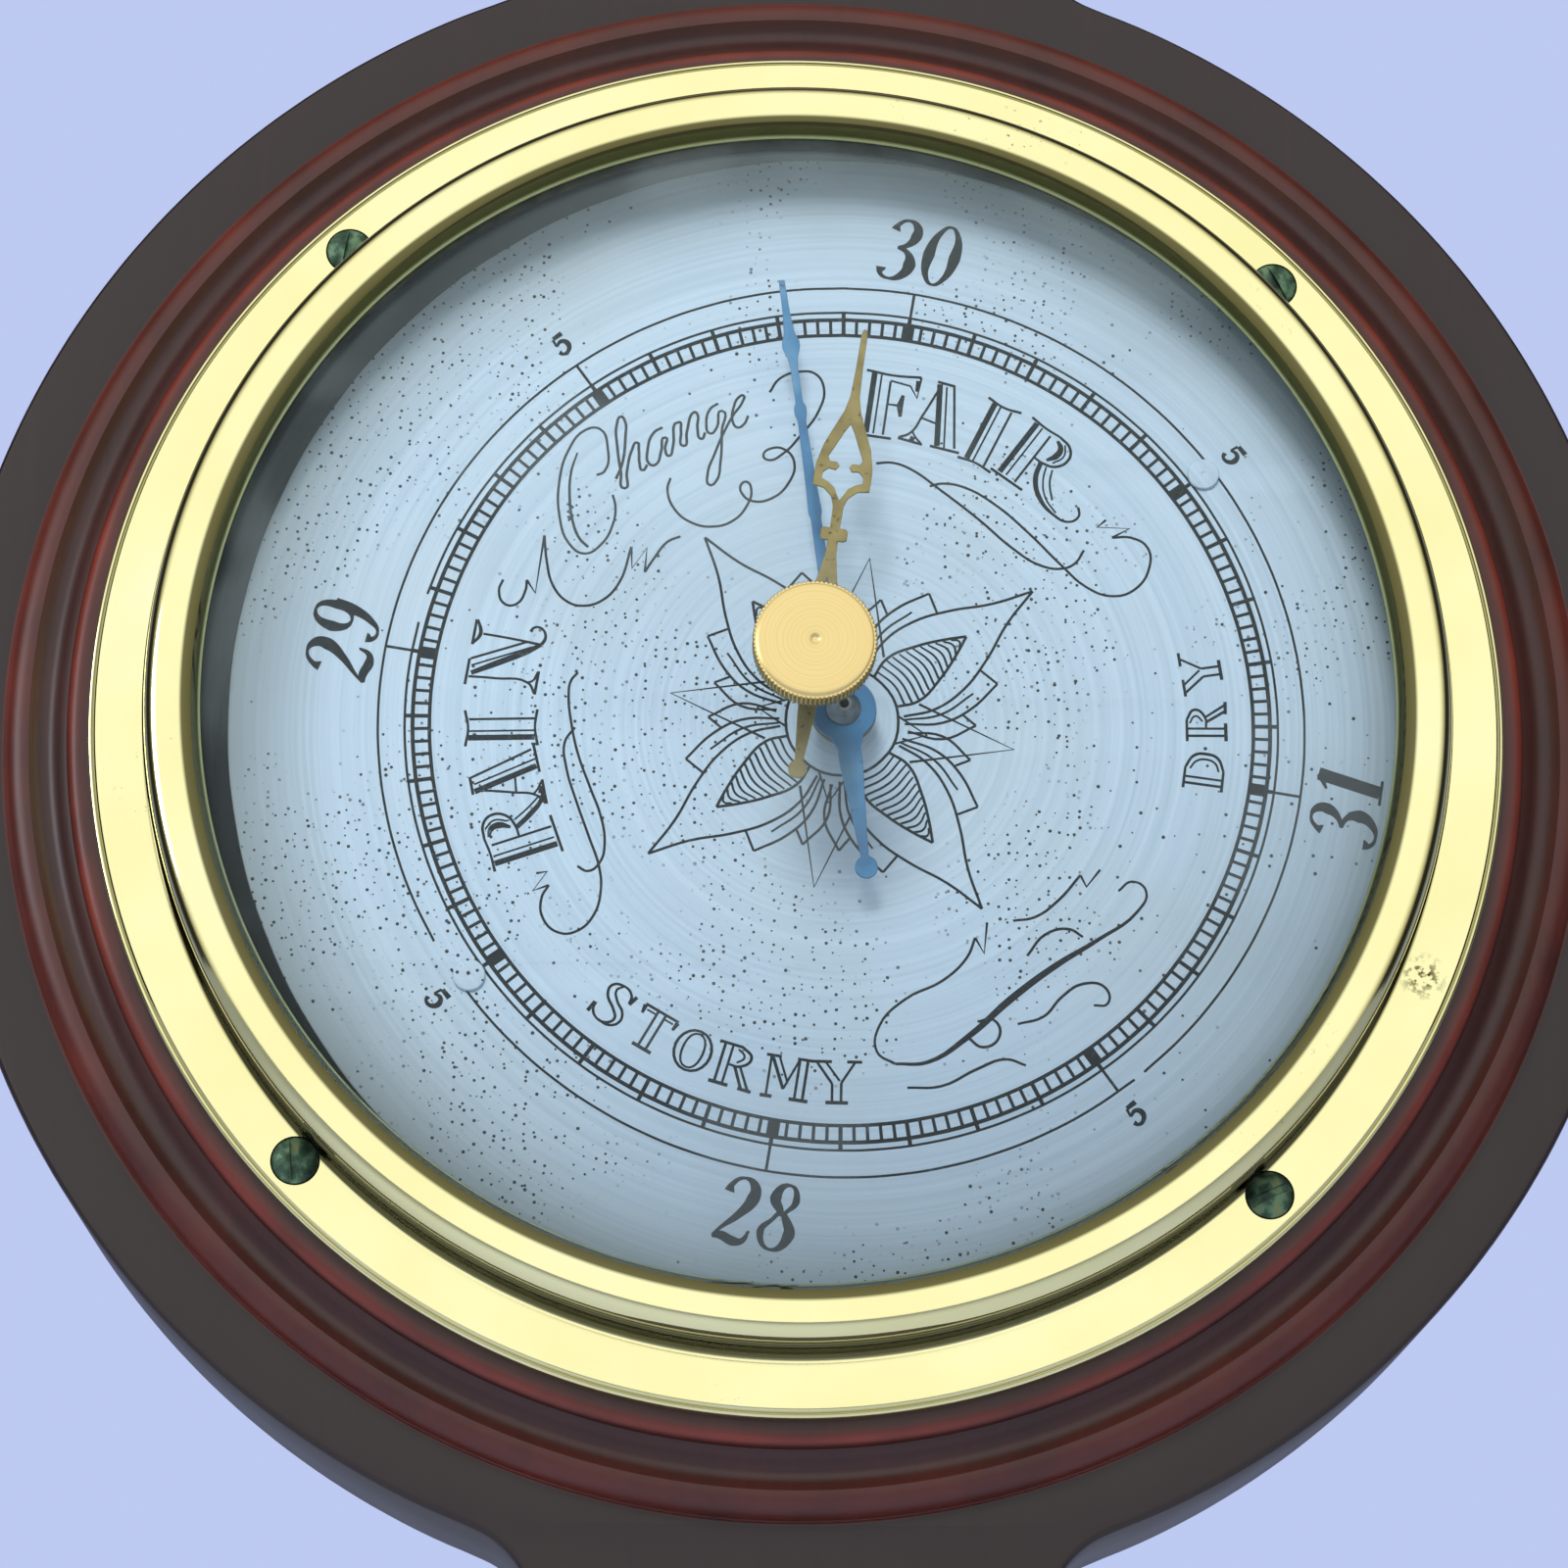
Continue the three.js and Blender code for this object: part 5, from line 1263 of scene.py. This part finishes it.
def makeKnob():
    s = knobShape
    centre = middleOf("set_knob")
    low, high = benchBox("set_knob")
    bottom, top = low[2], high[2]
    rimTop = top - 0.2
    rimBottom = rimTop - s["rim"]
    strokes = []
    for k in range(s["teeth"]):
        step = 360 / s["teeth"]
        for part, radius in ((0.0, s["root"]), (0.2, s["radius"]), (0.6, s["radius"]), (0.8, s["root"])):
            strokes.append(clock((k + part) * step, radius))
    rim = plateFrom("knobRim", [(True, True, strokes)], rimBottom, rimTop, 0.1, smooth=1)
    neckPoints = [(0, bottom), (s["neck"], bottom), (s["neck"], rimBottom - 0.6), (s["neck"] + 0.6, rimBottom + 0.2),
                  (0, rimBottom + 0.2)]
    neck = turn("knobNeck", neckPoints, steps=64, closed=False)
    facePoints = [(0, rimTop - 0.3), (5.7, rimTop - 0.3), (5.72, rimTop + 0.02), (5.55, rimTop + 0.14), (5.2, rimTop + 0.18),
                  (2.5, top), (0.75, top), (0.5, top - 0.05), (0.25, top - 0.22), (0, top - 0.3)]
    face = turn("knobFace", facePoints, steps=96, closed=False)
    knob = joined("setKnob", [rim, neck, face])
    knob.data.transform(Matrix.Translation((centre.x, centre.y, 0)))
    finishPiece(knob, materials["knob"], "set_marker", ["set_knob"], angle=32)


makeKnob()
print("hands and knob made")


# ---- hanging plate ----

def makeHangingPlate():
    low, high = benchBox("hanging_plate")
    middleY = (low[1] + high[1]) / 2
    half = high[0]
    corner = 1.6
    outline = []
    for cx, cy, start in ((half - corner, high[1] - corner, 0), (corner - half, high[1] - corner, 90),
                          (corner - half, low[1] + corner, 180), (half - corner, low[1] + corner, 270)):
        outline += [(cx + corner * math.cos(math.radians(start + d)), cy + corner * math.sin(math.radians(start + d)))
                    for d in range(0, 91, 15)]
    keyhole = [(4 * math.cos(math.radians(d)), middleY - 2.5 + 4 * math.sin(math.radians(d)))
               for d in range(117, 424, 12)]
    keyhole += [(1.8 * math.cos(math.radians(d)), middleY + 4 + 1.8 * math.sin(math.radians(d)))
                for d in range(0, 181, 20)]
    plate = plateFrom("hangingPlate", [(True, True, outline), (True, True, keyhole)],
                      low[2], high[2], 0.2, smooth=1)
    for number in (1, 2):
        at = middleOf("hanging_screw_%d" % number)
        boolean(plate, plug(2.9, at.x, at.y, -1, 0.9, 40))
        boolean(plate, plug(1.5, at.x, at.y, -1, 3, 24))
    finishPiece(plate, materials["dull_brass"], "case", ["hanging_plate"], angle=30)
    master = makeScrew("plateScrewMaster", 2.45, 0.6, 1.15, 11)
    for number, turned in ((1, 20), (2, 75)):
        at = middleOf("hanging_screw_%d" % number)
        piece = copyOf(master, "hangingScrew%d" % number)
        flip = Matrix.Rotation(math.pi, 4, "X") @ Matrix.Rotation(math.radians(turned), 4, "Z")
        piece.data.transform(Matrix.Translation((at.x, at.y, 0.7)) @ flip)
        finishPiece(piece, materials["patina_brass"], "case",
                    ["hanging_screw_%d" % number], angle=35)
    bpy.data.objects.remove(master)


makeHangingPlate()
print("hanging plate made")


# ---- the rest of the CAD parts keep their shapes and take a worked finish ----

def finishCadParts():
    kinds = {"steel": ("arbor", "stud", "shaft", "screw", "hairspring", "chain", "link", "rocker_shaft", "spring"),
             "silvered": ("rivet",)}
    for name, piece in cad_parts.items():
        chosen = "dull_brass"
        for kind, words in kinds.items():
            if any(word in name for word in words):
                chosen = kind
        if name in ("arbor_cock", "arbor_bridge", "bridge_pillar_1", "bridge_pillar_2"):
            chosen = "dull_brass"
        piece.data.materials.clear()
        piece.data.materials.append(materials[chosen])


finishCadParts()


# ---- floor, lights and world ----

floorShape = {"height": -0.95, "size": 8, "thick": 0.05}


def makeStage():
    bpy.ops.object.select_all(action="DESELECT")
    bpy.ops.mesh.primitive_plane_add(size=floorShape["size"], location=(0, 0, floorShape["height"]))
    floor = bpy.context.object
    floor.name = "floor"
    floor.data.materials.append(plasterPale())


def addLight(name, place, target, size, power, colour, seenInMetal=True):
    data = bpy.data.lights.new(name, "AREA")
    data.shape = "DISK"
    data.size = size
    data.energy = power
    data.color = hexColour(colour)[:3]
    light = bpy.data.objects.new(name, data)
    bpy.context.scene.collection.objects.link(light)
    light.location = place
    light.visible_glossy = seenInMetal
    light.rotation_euler = (Vector(target) - Vector(place)).to_track_quat("-Z", "Y").to_euler()


def makeWorld():
    world = bpy.data.worlds.new("studio")
    bpy.context.scene.world = world
    world.use_nodes = True
    tree = world.node_tree
    tree.nodes.clear()
    where = addNode(tree, "ShaderNodeTexCoord")
    towards = addNode(tree, "ShaderNodeVectorMath", {1: (-0.05, -0.93, 0.36)},
                      {0: where.outputs["Generated"]}, operation="DOT_PRODUCT")
    depth = addNode(tree, "ShaderNodeMapRange", {1: -1.0, 2: 1.0}, {0: towards.outputs["Value"]})
    ramp = addNode(tree, "ShaderNodeValToRGB", feeds={0: depth.outputs[0]},
                   stops=[(0.0, "#8d96b4"), (0.3, "#8d96b4"), (0.46, "#232220"), (0.64, "#2c2a26"),
                          (0.82, "#e2dfd4"), (0.9, "#ffffff")])
    rays = addNode(tree, "ShaderNodeLightPath")
    pale = addNode(tree, "ShaderNodeRGB")
    pale.outputs[0].default_value = hexColour("#b9c5ec")
    colour = mixColours(tree, rays.outputs["Is Camera Ray"], ramp.outputs[0], pale.outputs[0])
    back = addNode(tree, "ShaderNodeBackground", {"Strength": 1.05}, {"Color": colour})
    addNode(tree, "ShaderNodeOutputWorld", feeds={"Surface": back.outputs[0]})


makeStage()
makeWorld()
addLight("key", (-0.25, -1.5, 0.75), (0, 0, -0.1), 0.5, 19, "#fffdf8", seenInMetal=False)
addLight("left", (-1.3, -0.9, 0.2), (0, 0, -0.1), 0.6, 5, "#f2f5ff")
addLight("rear", (0.3, 1.2, 0.6), (0, 0, -0.1), 1.0, 14, "#f4f6ff")

bpy.context.scene.view_settings.view_transform = "Standard"

print("stage made")
